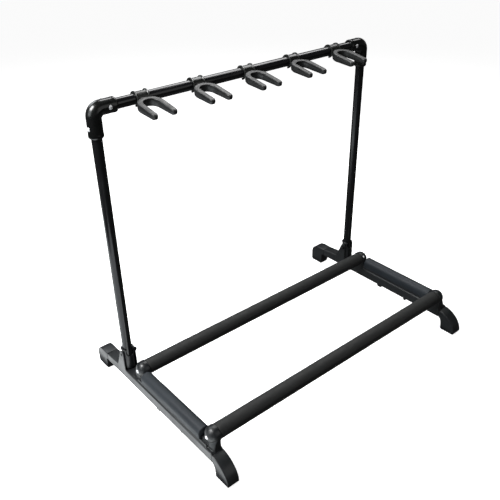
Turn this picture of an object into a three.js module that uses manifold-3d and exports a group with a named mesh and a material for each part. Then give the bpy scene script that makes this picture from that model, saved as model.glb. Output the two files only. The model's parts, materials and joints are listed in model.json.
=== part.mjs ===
// A folding five-way guitar rack: two moulded side arms, two foam-covered base tubes that join them,
// and an upright frame with five soft neck forks, which folds forward on two knuckles.
// Millimetres, +Z up, +X to the right and -Y to the front. The origin is on the floor, below the centre.
import * as THREE from 'three';
import { mergeVertices } from 'three/addons/utils/BufferGeometryUtils.js';
import Module from 'manifold-3d';

const wasm = await Module();
wasm.setup();

// ---- driving dimensions -------------------------------------------------------------------------
const GAP = 0.3; // between pieces that touch

const HALF_DEPTH = 252; // floor plan, front foot toe to rear foot heel
const ARM_OUTER_X = 376.4; // outer face of a side arm, from the centre line
const ARM_INNER_X = 347.7;
const ARM_END_Y = 203; // the feet are fitted beyond this, front and rear
const ARM_BOTTOM_Z = 32.6;
const ARM_TOP_Z = 55.6;
const ARM_REAR_TOP_Z = 51.8;
const ARM_MID_X = (ARM_INNER_X + ARM_OUTER_X) / 2;
const ARM_WALL = 3;
const ARM_HOLLOW_TOP_Z = 48; // ceiling of the hollow underside
const PLINTH = { inner: 350.5, outer: 373.6 }; // the step under the pad
const RAIL = { half: 6.5, height: 6 }; // the rib on the plinth that the pad straddles

const BASE_TUBE_Z = 81.4; // axis of both base tubes
const FRONT_TUBE_Y = -182.5;
const REAR_TUBE_Y = 70.8;
const TUBE_R = 10.4;
const TUBE_WALL = 1.2;
const FOAM_R = 17.1;
const BOSS_R = 18.3;

const UPRIGHT_X = 360;
const UPRIGHT_Y = 127.3;
const TOP_TUBE_Z = 656.4;
const PIVOT_Z = 96; // fold pivot, on the upright's axis
const EAR = { inner: 343.6, outer: ARM_OUTER_X, thickness: 3, front: 117, rear: 152 };

const ELBOW_R = 14.5;
const ELBOW_BEND = 17; // centreline radius
const ELBOW_LEG_X = 46.8; // corner axis to the mouth, along the top tube
const ELBOW_LEG_Z = 54;
const ELBOW_BORE = 25; // how far the tubes go in

const FORK_COUNT = 5;
const FORK_PITCH = 129.5;
const FORK = { gap: 31, width: 11, depth: 87, rearHeight: 16, tipHeight: 11 };
const FORK_TILT = THREE.MathUtils.degToRad(8.5); // the tips hang below the level
const CLIP = { r: 12.9, rim: 15, length: 28, rimThickness: 2.2, mouth: 80 };

const PAD_R = 13.8;
const PAD_AXIS_Z = 74.2;
const PAD_BOTTOM_Z = 61.9;

const ROUND = 24; // facets round a tube
const SMALL_ROUND = 12; // facets round a screw or a small hole

// ---- materials ----------------------------------------------------------------------------------
const material = (color, roughness, metalness = 0) =>
  new THREE.MeshStandardMaterial({ color, roughness, metalness });
const finish = {
  moulding: material(0x1b1c1d, 0.5),
  lacquer: material(0x101114, 0.28, 0.3),
  foam: material(0x1a1b1b, 0.85),
  pad: material(0x2b2f35, 0.6),
  forkPad: material(0x3a3b3c, 0.6),
  rubber: material(0x161616, 0.9),
  chrome: material(0xd9dcde, 0.12, 1),
  blackSteel: material(0x141414, 0.4, 0.8),
};

// ---- solids -------------------------------------------------------------------------------------
const X = new THREE.Vector3(1, 0, 0);
const Y = new THREE.Vector3(0, 1, 0);
const Z = new THREE.Vector3(0, 0, 1);

// A closed geometry as a solid that can be joined and cut.
function solid(geometry) {
  const bare = geometry.clone();
  for (const name of Object.keys(bare.attributes)) {
    if (name !== 'position') bare.deleteAttribute(name);
  }
  const merged = mergeVertices(bare, 1e-4);
  const mesh = new wasm.Mesh({
    numProp: 3,
    vertProperties: new Float32Array(merged.attributes.position.array),
    triVerts: new Uint32Array(merged.index.array),
  });
  mesh.merge();
  return new wasm.Manifold(mesh);
}

function geometryOf(manifold) {
  const { vertProperties, triVerts } = manifold.getMesh();
  const geometry = new THREE.BufferGeometry();
  geometry.setAttribute('position', new THREE.BufferAttribute(new Float32Array(vertProperties), 3));
  geometry.setIndex(new THREE.BufferAttribute(new Uint32Array(triVerts), 1));
  geometry.computeVertexNormals();
  return geometry;
}

const join = (...solids) => solids.reduce((all, next) => all.add(next));
const cut = (body, ...tools) => tools.reduce((left, tool) => left.subtract(tool), body);

function block(x0, x1, y0, y1, z0, z1) {
  const geometry = new THREE.BoxGeometry(Math.abs(x1 - x0), y1 - y0, z1 - z0);
  return solid(geometry.translate((x0 + x1) / 2, (y0 + y1) / 2, (z0 + z1) / 2));
}

// A round bar, from one point along an axis.
function rod(r, start, axis, length, sides = ROUND) {
  const geometry = new THREE.CylinderGeometry(r, r, length, sides);
  geometry.translate(0, length / 2, 0);
  geometry.applyQuaternion(new THREE.Quaternion().setFromUnitVectors(Y, axis));
  return solid(geometry.translate(start.x, start.y, start.z));
}

// A turned body: points are [radius, height], and the height runs along the axis from the start.
function turned(points, start, axis, sides = ROUND) {
  const profile = points.map(([r, h]) => new THREE.Vector2(r, h));
  const geometry = new THREE.LatheGeometry(profile, sides);
  geometry.applyQuaternion(new THREE.Quaternion().setFromUnitVectors(Y, axis));
  return solid(geometry.translate(start.x, start.y, start.z));
}

function pipe(r, wall, start, axis, length) {
  const inner = r - wall;
  return turned([[inner, 0], [r, 0], [r, length], [inner, length], [inner, 0]], start, axis);
}

// A side profile in the (y, z) plane, extruded between two x positions, with softened long edges.
function sideProfile(shape, xa, xb, edge = 0, segments = 1) {
  const x0 = Math.min(xa, xb);
  const width = Math.abs(xb - xa);
  const geometry = new THREE.ExtrudeGeometry(shape, {
    depth: width - 2 * edge,
    bevelEnabled: edge > 0,
    bevelThickness: edge,
    bevelSize: edge,
    bevelOffset: -edge,
    bevelSegments: segments,
    curveSegments: 10,
  });
  geometry.translate(0, 0, edge);
  geometry.applyMatrix4(new THREE.Matrix4().makeBasis(Y, Z, X));
  return solid(geometry.translate(x0, 0, 0));
}

const at = (x, y, z) => new THREE.Vector3(x, y, z);

const rack = new THREE.Group();

function piece(name, body, look) {
  const geometry = body.isBufferGeometry ? body : geometryOf(body);
  const mesh = new THREE.Mesh(geometry, look);
  mesh.name = name;
  rack.add(mesh);
  return mesh;
}

// A pan-head screw with a cross recess. It is made along +Y and then turned so that its axis points
// from the head's face into the work.
function screw(name, face, axis, { head = 4.6, headHeight = 2.4, shank = 2, length = 9 } = {}) {
  const body = turned([[0, 0], [head * 0.55, 0.25], [head * 0.9, 1], [head, headHeight],
    [shank, headHeight], [shank, length - 1], [shank * 0.4, length], [0, length]], at(0, 0, 0), Y,
    SMALL_ROUND);
  const arm = head * 0.6;
  const recess = join(block(-arm, arm, -1, 1, -0.45, 0.45), block(-0.45, 0.45, -1, 1, -arm, arm));
  const mesh = piece(name, cut(body, recess), finish.chrome);
  mesh.quaternion.setFromUnitVectors(Y, axis);
  mesh.position.copy(face);
}

// ---- side arms ----------------------------------------------------------------------------------
// One moulding: a hollow bar that is open below, a plinth under the pad, two bosses that hold the
// base tubes and, at the rear, a pair of ears for the fold pivot.

function armProfile() {
  const shape = new THREE.Shape();
  shape.moveTo(-ARM_END_Y, ARM_BOTTOM_Z);
  shape.lineTo(ARM_END_Y, ARM_BOTTOM_Z);
  shape.lineTo(ARM_END_Y, ARM_REAR_TOP_Z);
  shape.lineTo(153, ARM_TOP_Z);
  shape.lineTo(-ARM_END_Y + 6, ARM_TOP_Z);
  shape.lineTo(-ARM_END_Y, ARM_TOP_Z - 1.6);
  return shape;
}

// The pedestal under a boss: it flares where it meets the arm.
function pedestalProfile(y, flare) {
  const shape = new THREE.Shape();
  const foot = BOSS_R + flare;
  shape.moveTo(y - foot, ARM_TOP_Z - 4);
  shape.lineTo(y + foot, ARM_TOP_Z - 4);
  shape.lineTo(y + foot, ARM_TOP_Z);
  shape.quadraticCurveTo(y + BOSS_R, ARM_TOP_Z + 3, y + BOSS_R, BASE_TUBE_Z);
  shape.lineTo(y - BOSS_R, BASE_TUBE_Z);
  shape.quadraticCurveTo(y - BOSS_R, ARM_TOP_Z + 3, y - foot, ARM_TOP_Z);
  return shape;
}

const BOSS_INNER_X = ARM_INNER_X;
const BOSS_SHOULDER_X = 355.5; // the dome starts here
const BOSS_END_X = 371.8;
const BOSS_BORE_X = 362; // the tube stops here
const SCREW_SEAT_X = 370.6;

// A boss: a round collar that ends in a dome on the outer side.
function boss(side, y) {
  const dome = [];
  const depth = BOSS_END_X - BOSS_SHOULDER_X;
  const steps = 5;
  for (let i = 0; i <= steps; i += 1) {
    const angle = (i / steps) * (Math.PI / 2);
    dome.push([BOSS_R * Math.cos(angle), BOSS_SHOULDER_X - BOSS_INNER_X + depth * Math.sin(angle)]);
  }
  dome[steps][0] = 0;
  return turned([[0, 0], [BOSS_R, 0], ...dome], at(side * BOSS_INNER_X, y, BASE_TUBE_Z),
    at(side, 0, 0));
}

function earProfile() {
  const shape = new THREE.Shape();
  const root = ARM_TOP_Z - 8;
  shape.moveTo(EAR.rear, root);
  shape.lineTo(EAR.rear, ARM_TOP_Z);
  shape.lineTo(133.5, PIVOT_Z + 6.6);
  shape.quadraticCurveTo(131.5, PIVOT_Z + 9.4, UPRIGHT_Y, PIVOT_Z + 9.6);
  shape.quadraticCurveTo(121.2, PIVOT_Z + 9.4, 120.2, PIVOT_Z + 4);
  shape.lineTo(119.2, ARM_TOP_Z + 4);
  shape.lineTo(EAR.front, ARM_TOP_Z);
  shape.lineTo(EAR.front, root);
  return shape;
}

// One set screw locks the rear base tube in the right arm, from the upper front of the boss.
const SET_SCREW = { side: 1, x: 353, tilt: 38, head: 3, shank: 1.5, length: 7 };

function setScrewPlace() {
  const tilt = THREE.MathUtils.degToRad(SET_SCREW.tilt);
  const axis = at(0, Math.cos(tilt), -Math.sin(tilt));
  const centre = at(SET_SCREW.side * SET_SCREW.x, REAR_TUBE_Y, BASE_TUBE_Z);
  return { face: centre.addScaledVector(axis, -BOSS_R - 0.2), axis };
}

const BOLT_R = 3;
const CLIP_PEGS = [{ name: 'rear', y: -6.5, length: 15 }, { name: 'front', y: -93, length: 8 }];
const PEG_HALF = 2.4; // half the width of a pad clip's shank

function sideArm(side) {
  const outer = side * ARM_OUTER_X;
  const inner = side * ARM_INNER_X;
  const wallOut = side * (ARM_OUTER_X - ARM_WALL);
  const wallIn = side * (ARM_INNER_X + ARM_WALL);

  const bar = sideProfile(armProfile(), inner, outer, 1.6);
  const plinth = block(side * PLINTH.inner, side * PLINTH.outer, FRONT_TUBE_Y, REAR_TUBE_Y,
    ARM_TOP_Z - 1, PAD_BOTTOM_Z - GAP);
  const middle = side * ARM_MID_X;
  const rail = block(middle - RAIL.half, middle + RAIL.half, FRONT_TUBE_Y, REAR_TUBE_Y, ARM_TOP_Z,
    PAD_BOTTOM_Z + RAIL.height);
  const housing = block(side * EAR.inner, side * (ARM_INNER_X + ARM_WALL), EAR.front, EAR.rear,
    (ARM_BOTTOM_Z + ARM_HOLLOW_TOP_Z) / 2, ARM_TOP_Z);
  const earAt = (x) => sideProfile(earProfile(), side * x, side * (x + EAR.thickness), 0.5);
  let arm = join(bar, plinth, rail, housing, earAt(EAR.inner), earAt(EAR.outer - EAR.thickness));
  for (const y of [FRONT_TUBE_Y, REAR_TUBE_Y]) {
    const pedestal = sideProfile(pedestalProfile(y, y > 0 ? 5 : 2), inner, side * 370, 1.2);
    arm = join(arm, boss(side, y), pedestal);
  }

  // Hollow underside, with cross ribs left standing between its cells.
  const cells = 8;
  const endWall = 8;
  const rib = 2.4;
  const pitch = (2 * (ARM_END_Y - endWall)) / cells;
  for (let i = 0; i < cells; i += 1) {
    const y0 = -ARM_END_Y + endWall + i * pitch + rib / 2;
    arm = cut(arm, block(wallIn, wallOut, y0, y0 + pitch - rib, ARM_BOTTOM_Z - 1,
      ARM_HOLLOW_TOP_Z));
  }

  for (const y of [FRONT_TUBE_Y, REAR_TUBE_Y]) {
    const bore = rod(TUBE_R + GAP, at(inner - side, y, BASE_TUBE_Z), at(side, 0, 0),
      BOSS_BORE_X - ARM_INNER_X + 1 + GAP);
    const seat = rod(4.9, at(side * SCREW_SEAT_X, y, BASE_TUBE_Z), at(side, 0, 0), 8, SMALL_ROUND);
    const hole = rod(2.3, at(side * (BOSS_BORE_X - 1), y, BASE_TUBE_Z), at(side, 0, 0), 12,
      SMALL_ROUND);
    arm = cut(arm, bore, seat, hole);
  }
  const boltHole = rod(BOLT_R + GAP, at(side * (EAR.inner - 1), UPRIGHT_Y, PIVOT_Z), at(side, 0, 0),
    40, SMALL_ROUND);
  arm = cut(arm, boltHole);
  for (const peg of CLIP_PEGS) {
    const half = PEG_HALF + GAP;
    arm = cut(arm, block(middle - half, middle + half, peg.y - half, peg.y + half,
      ARM_BOTTOM_Z - 2, PAD_BOTTOM_Z + 8));
  }
  if (side === SET_SCREW.side) {
    const { face, axis } = setScrewPlace();
    arm = cut(arm, rod(SET_SCREW.head + 0.5, face.clone().addScaledVector(axis, -4), axis, 6.4,
      SMALL_ROUND), rod(SET_SCREW.shank + GAP, face, axis, SET_SCREW.length + 2, SMALL_ROUND));
  }
  return arm;
}

// ---- feet ---------------------------------------------------------------------------------------
const SOLE = 2.6; // thickness of the rubber under each foot
const FOOT_EDGE = 1.6;

function frontFootProfile() {
  const shape = new THREE.Shape();
  const heel = -212.5;
  const seam = -ARM_END_Y - GAP;
  const top = ARM_TOP_Z - 2.4;
  const floor = SOLE + GAP;
  const toe = -HALF_DEPTH;
  shape.moveTo(seam, ARM_BOTTOM_Z);
  shape.lineTo(seam, top);
  shape.bezierCurveTo(-226, top - 3, toe + 3, 33, toe, floor + 4);
  shape.lineTo(toe + 0.4, floor);
  shape.lineTo(heel, floor);
  shape.bezierCurveTo(heel, 20, heel + 2.5, ARM_BOTTOM_Z - 1, seam, ARM_BOTTOM_Z);
  return shape;
}

function rearFootProfile() {
  const shape = new THREE.Shape();
  const seam = ARM_END_Y + GAP;
  const face = 212.5;
  const floor = SOLE + GAP;
  const heel = HALF_DEPTH;
  shape.moveTo(seam, ARM_BOTTOM_Z);
  shape.lineTo(face - 1, ARM_BOTTOM_Z);
  shape.lineTo(face, floor);
  shape.lineTo(heel - 1, floor);
  shape.lineTo(heel, 24);
  shape.quadraticCurveTo(heel + 0.5, 48, 229, ARM_REAR_TOP_Z);
  shape.lineTo(seam, ARM_REAR_TOP_Z);
  return shape;
}

function foot(side, profile) {
  return sideProfile(profile, side * ARM_INNER_X, side * ARM_OUTER_X, FOOT_EDGE, 2);
}

// A thin rubber pad under a foot, with ribs across it that grip the floor.
function sole(side, y0, y1) {
  const inset = 2.2;
  const x0 = Math.min(side * (ARM_INNER_X + inset), side * (ARM_OUTER_X - inset));
  const x1 = Math.max(side * (ARM_INNER_X + inset), side * (ARM_OUTER_X - inset));
  let body = block(x0, x1, y0 + inset, y1 - inset, 0, SOLE);
  const grooves = 4;
  const pitch = (y1 - y0 - 2 * inset) / (grooves + 1);
  for (let i = 1; i <= grooves; i += 1) {
    const y = y0 + inset + i * pitch;
    body = cut(body, block(x0 - 1, x1 + 1, y - 1, y + 1, -1, 0.9));
  }
  return body;
}

// ---- arm pads -----------------------------------------------------------------------------------
const PAD_Y0 = FRONT_TUBE_Y + BOSS_R + 2.4;
const PAD_Y1 = REAR_TUBE_Y - BOSS_R - 2.4;

// A round-topped strip with a slot below that straddles the arm's rail.
function armPad(side) {
  const middle = side * ARM_MID_X;
  const shape = new THREE.Shape();
  const slot = RAIL.half + GAP;
  const slotTop = PAD_BOTTOM_Z + RAIL.height + GAP;
  shape.moveTo(-PAD_R + 0.8, PAD_BOTTOM_Z);
  shape.lineTo(-slot, PAD_BOTTOM_Z);
  shape.lineTo(-slot, slotTop);
  shape.lineTo(slot, slotTop);
  shape.lineTo(slot, PAD_BOTTOM_Z);
  shape.lineTo(PAD_R - 0.8, PAD_BOTTOM_Z);
  shape.lineTo(PAD_R, PAD_BOTTOM_Z + 1.6);
  shape.absarc(0, PAD_AXIS_Z, PAD_R, 0, Math.PI, false);
  shape.lineTo(-PAD_R, PAD_BOTTOM_Z + 1.6);
  const geometry = new THREE.ExtrudeGeometry(shape, {
    depth: PAD_Y1 - PAD_Y0,
    bevelEnabled: false,
    curveSegments: 20,
  });
  geometry.applyMatrix4(new THREE.Matrix4().makeBasis(X.clone().negate(), Z, Y));
  return solid(geometry.translate(middle, PAD_Y0, 0));
}

const PAD_CLIP_DROP = 6.8; // how far a clip's foot hangs below the arm

// A push-in clip: a barbed shank goes up through the arm into the rail, its foot stays below.
function padClip(side, { y, length }) {
  const middle = side * ARM_MID_X;
  const bottom = ARM_BOTTOM_Z - GAP;
  const shape = new THREE.Shape();
  shape.moveTo(y - length / 2, bottom);
  shape.lineTo(y - length / 2 + 1.6, bottom - PAD_CLIP_DROP);
  shape.lineTo(y + length / 2 - 1.6, bottom - PAD_CLIP_DROP);
  shape.lineTo(y + length / 2, bottom);
  const footPlate = sideProfile(shape, side * PLINTH.inner, side * PLINTH.outer);
  const shank = block(middle - PEG_HALF, middle + PEG_HALF, y - PEG_HALF, y + PEG_HALF, bottom - 1,
    PAD_BOTTOM_Z + 5);
  return join(footPlate, shank);
}

// ---- base tubes and their foam ------------------------------------------------------------------
function baseTube(y) {
  return pipe(TUBE_R, TUBE_WALL, at(-BOSS_BORE_X, y, BASE_TUBE_Z), X, 2 * BOSS_BORE_X);
}

function foamSleeve(y) {
  const half = ARM_INNER_X - 0.6;
  return pipe(FOAM_R, FOAM_R - TUBE_R - GAP, at(-half, y, BASE_TUBE_Z), X, 2 * half);
}

// ---- fold hinge ---------------------------------------------------------------------------------
const KNUCKLE_R = 12.9;
const KNUCKLE_BOTTOM = ARM_TOP_Z + GAP + 0.5;
const KNUCKLE_RIM_Z = 110.2;
const KNUCKLE_FLARE_R = 15;
const TUBE_FOOT_Z = 78; // lower end of an upright, inside its knuckle
const NOTCH_Z = 91.2; // the knuckle's mouth dips to this at the front

// The moulded foot of an upright: a cup with a flared mouth, notched at the front, which turns
// between the ears. Its square heel meets the arm and stops the upright at the vertical.
function knuckle(side) {
  const x = side * UPRIGHT_X;
  const outside = [[0, KNUCKLE_BOTTOM], [KNUCKLE_R, KNUCKLE_BOTTOM], [KNUCKLE_R, PIVOT_Z + 10.6],
    [KNUCKLE_FLARE_R, KNUCKLE_RIM_Z - 1.6], [KNUCKLE_FLARE_R, KNUCKLE_RIM_Z], [0, KNUCKLE_RIM_Z]];
  const cup = turned(outside, at(x, UPRIGHT_Y, 0), Z);
  const bore = rod(TUBE_R + GAP, at(x, UPRIGHT_Y, TUBE_FOOT_Z - GAP), Z, 60);
  const notchHalf = 8.6;
  const arch = rod(notchHalf, at(x, UPRIGHT_Y - 20, NOTCH_Z + notchHalf), Y, 20, 20);
  const slot = block(x - notchHalf, x + notchHalf, UPRIGHT_Y - 20, UPRIGHT_Y, NOTCH_Z + notchHalf,
    KNUCKLE_RIM_Z + 2);
  const bolt = rod(BOLT_R + GAP, at(x - 20, UPRIGHT_Y, PIVOT_Z), X, 40, SMALL_ROUND);

  // The front lower corner is rounded about the pivot so that it clears the arm as it turns.
  const reach = PIVOT_Z - KNUCKLE_BOTTOM;
  const corner = new THREE.Shape();
  const start = Math.asin(KNUCKLE_R / reach) + 0.05;
  corner.moveTo(UPRIGHT_Y, KNUCKLE_BOTTOM - 4);
  corner.lineTo(UPRIGHT_Y, KNUCKLE_BOTTOM);
  const steps = 6;
  for (let i = 1; i <= steps; i += 1) {
    const angle = (start * i) / steps;
    corner.lineTo(UPRIGHT_Y - reach * Math.sin(angle), PIVOT_Z - reach * Math.cos(angle));
  }
  corner.lineTo(UPRIGHT_Y - 22, KNUCKLE_BOTTOM - 4);
  const waste = sideProfile(corner, x - 16, x + 16);
  return cut(cup, bore, arch, slot, bolt, waste);
}

const BOLT_INSET = 1.3; // how far the bolt lies behind the outer ear's face
const NUT = { r: 5.6, height: 3 };

// A headless bolt through both ears, the knuckle and the tube. Its nut is on the inner side.
function hingeBolt(side) {
  const start = at(side * (EAR.outer - BOLT_INSET), UPRIGHT_Y, PIVOT_Z);
  const length = EAR.outer - EAR.inner + 2 * NUT.height - BOLT_INSET;
  return turned([[0, 0], [BOLT_R, 0], [BOLT_R, length - 0.8], [BOLT_R - 0.8, length], [0, length]],
    start, at(-side, 0, 0), SMALL_ROUND);
}

function hingeNut(side) {
  const start = at(side * (EAR.inner - GAP), UPRIGHT_Y, PIVOT_Z);
  const hole = (BOLT_R + GAP) / Math.cos(Math.PI / 6);
  return turned([[hole, 0], [NUT.r, 0], [NUT.r, NUT.height - 1], [NUT.r - 0.6, NUT.height],
    [hole, NUT.height], [hole, 0]], start, at(-side, 0, 0), 6);
}

// ---- upright frame ------------------------------------------------------------------------------
const UPRIGHT_TOP_Z = TOP_TUBE_Z - ELBOW_LEG_Z + ELBOW_BORE;
const TOP_TUBE_END_X = UPRIGHT_X - ELBOW_LEG_X + ELBOW_BORE;

function uprightTube(side) {
  const x = side * UPRIGHT_X;
  const tube = pipe(TUBE_R, TUBE_WALL, at(x, UPRIGHT_Y, TUBE_FOOT_Z), Z,
    UPRIGHT_TOP_Z - TUBE_FOOT_Z);
  return cut(tube, rod(BOLT_R + GAP, at(x - 20, UPRIGHT_Y, PIVOT_Z), X, 40, SMALL_ROUND));
}

// A corner: a bent round body with a thicker lip at each mouth and a tube socket in each leg.
function elbow(side) {
  const corner = at(side * UPRIGHT_X, UPRIGHT_Y, TOP_TUBE_Z);
  const outward = at(side, 0, 0);
  const away = (axis, distance) => corner.clone().addScaledVector(axis, -distance);
  const bend = solid(new THREE.ExtrudeGeometry(circle(ELBOW_R, ROUND), {
    steps: 6,
    bevelEnabled: false,
    extrudePath: new THREE.QuadraticBezierCurve3(away(outward, ELBOW_BEND), corner,
      away(Z, ELBOW_BEND)),
  }));
  const leg = (mouth, axis, length) => turned([[0, 0], [ELBOW_R - 0.9, 0], [ELBOW_R + 0.5, 1.2],
    [ELBOW_R + 0.5, 5.4], [ELBOW_R, 6.6], [ELBOW_R, length], [0, length]], mouth, axis);
  const mouthX = away(outward, ELBOW_LEG_X);
  const mouthZ = away(Z, ELBOW_LEG_Z);
  const dot = turned([[0, 0], [2.6, 0], [2.6, 0.7], [2, 1.2], [0, 1.2]],
    at(side * ELBOW_DOT_X, UPRIGHT_Y, TOP_TUBE_Z + ELBOW_R - 0.4), Z, SMALL_ROUND);
  let body = join(bend, leg(mouthX, outward, ELBOW_LEG_X - ELBOW_BEND + 0.1),
    leg(mouthZ, Z, ELBOW_LEG_Z - ELBOW_BEND + 0.1), dot);
  body = cut(body,
    rod(TUBE_R + GAP, away(outward, ELBOW_LEG_X + 1), outward, ELBOW_BORE + 1 + GAP),
    rod(TUBE_R + GAP, away(Z, ELBOW_LEG_Z + 1), Z, ELBOW_BORE + 1 + GAP));
  for (const { face, axis } of elbowScrews(side)) {
    body = cut(body, rod(5, face.clone().addScaledVector(axis, -6), axis, 8.8, SMALL_ROUND),
      rod(2.3, face, axis, 8, SMALL_ROUND));
  }
  return body;
}

function circle(r, sides) {
  const points = [];
  for (let i = 0; i < sides; i += 1) {
    const angle = (i / sides) * 2 * Math.PI;
    points.push(new THREE.Vector2(r * Math.cos(angle), r * Math.sin(angle)));
  }
  return new THREE.Shape(points);
}

const ELBOW_SCREW_X = 330;
const ELBOW_SCREW_Z = 621.5;
const ELBOW_DOT_X = 340; // a moulded dot on top of the level leg

// The first screw is on the front of the level leg, the second on the outside of the upright leg.
function elbowScrews(side) {
  const depth = ELBOW_R + 0.6;
  return [
    { name: 'front', face: at(side * ELBOW_SCREW_X, UPRIGHT_Y - depth, TOP_TUBE_Z), axis: Y },
    { name: 'side', face: at(side * (UPRIGHT_X + depth), UPRIGHT_Y, ELBOW_SCREW_Z),
      axis: at(-side, 0, 0) },
  ];
}

// ---- neck forks ---------------------------------------------------------------------------------
const FORK_AXIS_Z = -1.5; // the fork's middle, from the top tube's axis
const CORE = { width: 4.4, height: 5.6 };
const FORK_CENTRE_R = FORK.gap / 2 + FORK.width / 2;
const FORK_BACK_Y = -(CLIP.r - 0.4); // rear of the soft fork, from the tube's axis
const BEND_Y = FORK_BACK_Y - FORK_CENTRE_R - FORK.width / 2; // centre of the round end
const NECK_HALF = 8;

// A U in plan, open to the front, with round tips: its centreline keeps the fork's own radius.
function forkPlan(width, tipY) {
  const r0 = FORK_CENTRE_R - width / 2;
  const r1 = FORK_CENTRE_R + width / 2;
  const shape = new THREE.Shape();
  shape.moveTo(r1, tipY);
  shape.lineTo(r1, BEND_Y);
  shape.absarc(0, BEND_Y, r1, 0, Math.PI, false);
  shape.lineTo(-r1, tipY);
  shape.absarc(-FORK_CENTRE_R, tipY, width / 2, Math.PI, 2 * Math.PI, false);
  shape.lineTo(-r0, BEND_Y);
  shape.absarc(0, BEND_Y, r0, Math.PI, 0, true);
  shape.lineTo(r0, tipY);
  shape.absarc(FORK_CENTRE_R, tipY, width / 2, Math.PI, 2 * Math.PI, false);
  return shape;
}

function slab(shape, z0, height, edge = 0, segments = 2) {
  const geometry = new THREE.ExtrudeGeometry(shape, {
    depth: height - 2 * edge,
    bevelEnabled: edge > 0,
    bevelThickness: edge,
    bevelSize: edge,
    bevelOffset: -edge,
    bevelSegments: segments,
    curveSegments: 9,
  });
  return geometry.translate(0, 0, z0 + edge);
}

// The stiff core inside the soft fork, with the neck that joins it to the clip.
function forkCore(clearance) {
  const height = CORE.height + 2 * clearance;
  const z0 = FORK_AXIS_Z - height / 2;
  const tipY = -(FORK.depth - FORK.width);
  const bar = solid(slab(forkPlan(CORE.width + 2 * clearance, tipY + 1 - clearance), z0, height));
  const half = NECK_HALF + clearance;
  const neck = block(-half, half, FORK_BACK_Y - FORK.width / 2 - clearance, FORK_BACK_Y + 2,
    z0, z0 + height);
  return join(bar, neck);
}

// The clip is made in its own frame: the tube's axis is X, and the fork points to -Y.
function neckClip() {
  const half = CLIP.length / 2;
  const bore = TUBE_R + GAP;
  const saddle = turned([[bore, 0], [CLIP.rim, 0], [CLIP.rim, CLIP.rimThickness],
    [CLIP.r, CLIP.rimThickness + 1.2], [CLIP.r, CLIP.length - CLIP.rimThickness - 1.2],
    [CLIP.rim, CLIP.length - CLIP.rimThickness], [CLIP.rim, CLIP.length], [bore, CLIP.length],
    [bore, 0]], at(-half, 0, 0), X);
  const open = THREE.MathUtils.degToRad(CLIP.mouth / 2);
  const facing = THREE.MathUtils.degToRad(-60) - FORK_TILT; // the mouth looks down and to the rear
  const wedge = new THREE.Shape();
  wedge.moveTo(0, 0);
  for (const angle of [facing - open, facing, facing + open]) {
    wedge.lineTo(40 * Math.cos(angle), 40 * Math.sin(angle));
  }
  const mouth = sideProfile(wedge, -half - 1, half + 1);
  return join(cut(saddle, mouth), cut(forkCore(0), rod(bore, at(-half, 0, 0), X, 2 * half)));
}

// The soft fork: deepest at the back, thinner at the tips, and hollow where the core goes.
function forkPad() {
  const tipY = -(FORK.depth - FORK.width / 2);
  const top = FORK_AXIS_Z + FORK.rearHeight / 2;
  const geometry = slab(forkPlan(FORK.width, tipY), FORK_AXIS_Z - FORK.rearHeight / 2,
    FORK.rearHeight, 2.6, 1);
  const position = geometry.attributes.position;
  const slim = FORK.tipHeight / FORK.rearHeight;
  for (let i = 0; i < position.count; i += 1) {
    const away = THREE.MathUtils.clamp((BEND_Y - position.getY(i)) / (BEND_Y - tipY), 0, 1);
    const factor = THREE.MathUtils.lerp(1, slim, away);
    const drop = THREE.MathUtils.lerp(0, (FORK.rearHeight - FORK.tipHeight) / 2 - 1.4, away);
    const z = FORK_AXIS_Z + (position.getZ(i) - FORK_AXIS_Z) * factor + drop;
    position.setZ(i, Math.min(z, top));
  }
  const saddle = rod(CLIP.r + GAP, at(-CLIP.length, 0, 0), X, 2 * CLIP.length);
  const rimFrom = CLIP.length / 2 - CLIP.rimThickness - 1.2 - GAP;
  const rims = [1, -1].map((end) => rod(CLIP.rim + GAP, at(end * rimFrom, 0, 0),
    at(end, 0, 0), CLIP.length));
  return cut(solid(geometry), forkCore(GAP), saddle, ...rims);
}

// ---- assembly -----------------------------------------------------------------------------------
for (const [side, name] of [[-1, 'left'], [1, 'right']]) {
  piece(`side_arm_${name}`, sideArm(side), finish.moulding);
  piece(`front_foot_${name}`, foot(side, frontFootProfile()), finish.moulding);
  piece(`rear_foot_${name}`, foot(side, rearFootProfile()), finish.moulding);
  piece(`front_sole_${name}`, sole(side, -HALF_DEPTH + 0.6, -212.5), finish.rubber);
  piece(`rear_sole_${name}`, sole(side, 212.5, HALF_DEPTH - 1.2), finish.rubber);
  piece(`arm_pad_${name}`, armPad(side), finish.pad);
  for (const peg of CLIP_PEGS) {
    piece(`pad_clip_${peg.name}_${name}`, padClip(side, peg), finish.moulding);
  }
  for (const [end, y] of [['front', FRONT_TUBE_Y], ['rear', REAR_TUBE_Y]]) {
    screw(`boss_screw_${end}_${name}`, at(side * (SCREW_SEAT_X + 2.7), y, BASE_TUBE_Z),
      at(-side, 0, 0), { head: 4.4 });
  }
  piece(`hinge_knuckle_${name}`, knuckle(side), finish.moulding);
  piece(`hinge_bolt_${name}`, hingeBolt(side), finish.blackSteel);
  piece(`hinge_nut_${name}`, hingeNut(side), finish.blackSteel);
  piece(`upright_tube_${name}`, uprightTube(side), finish.lacquer);
  piece(`corner_elbow_${name}`, elbow(side), finish.moulding);
  for (const { name: place, face, axis } of elbowScrews(side)) {
    screw(`elbow_screw_${place}_${name}`, face, axis, { length: 4.2 });
  }
}

const setScrew = setScrewPlace();
screw('set_screw_rear_right', setScrew.face, setScrew.axis,
  { head: SET_SCREW.head, headHeight: 1.8, shank: SET_SCREW.shank, length: SET_SCREW.length });

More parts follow.
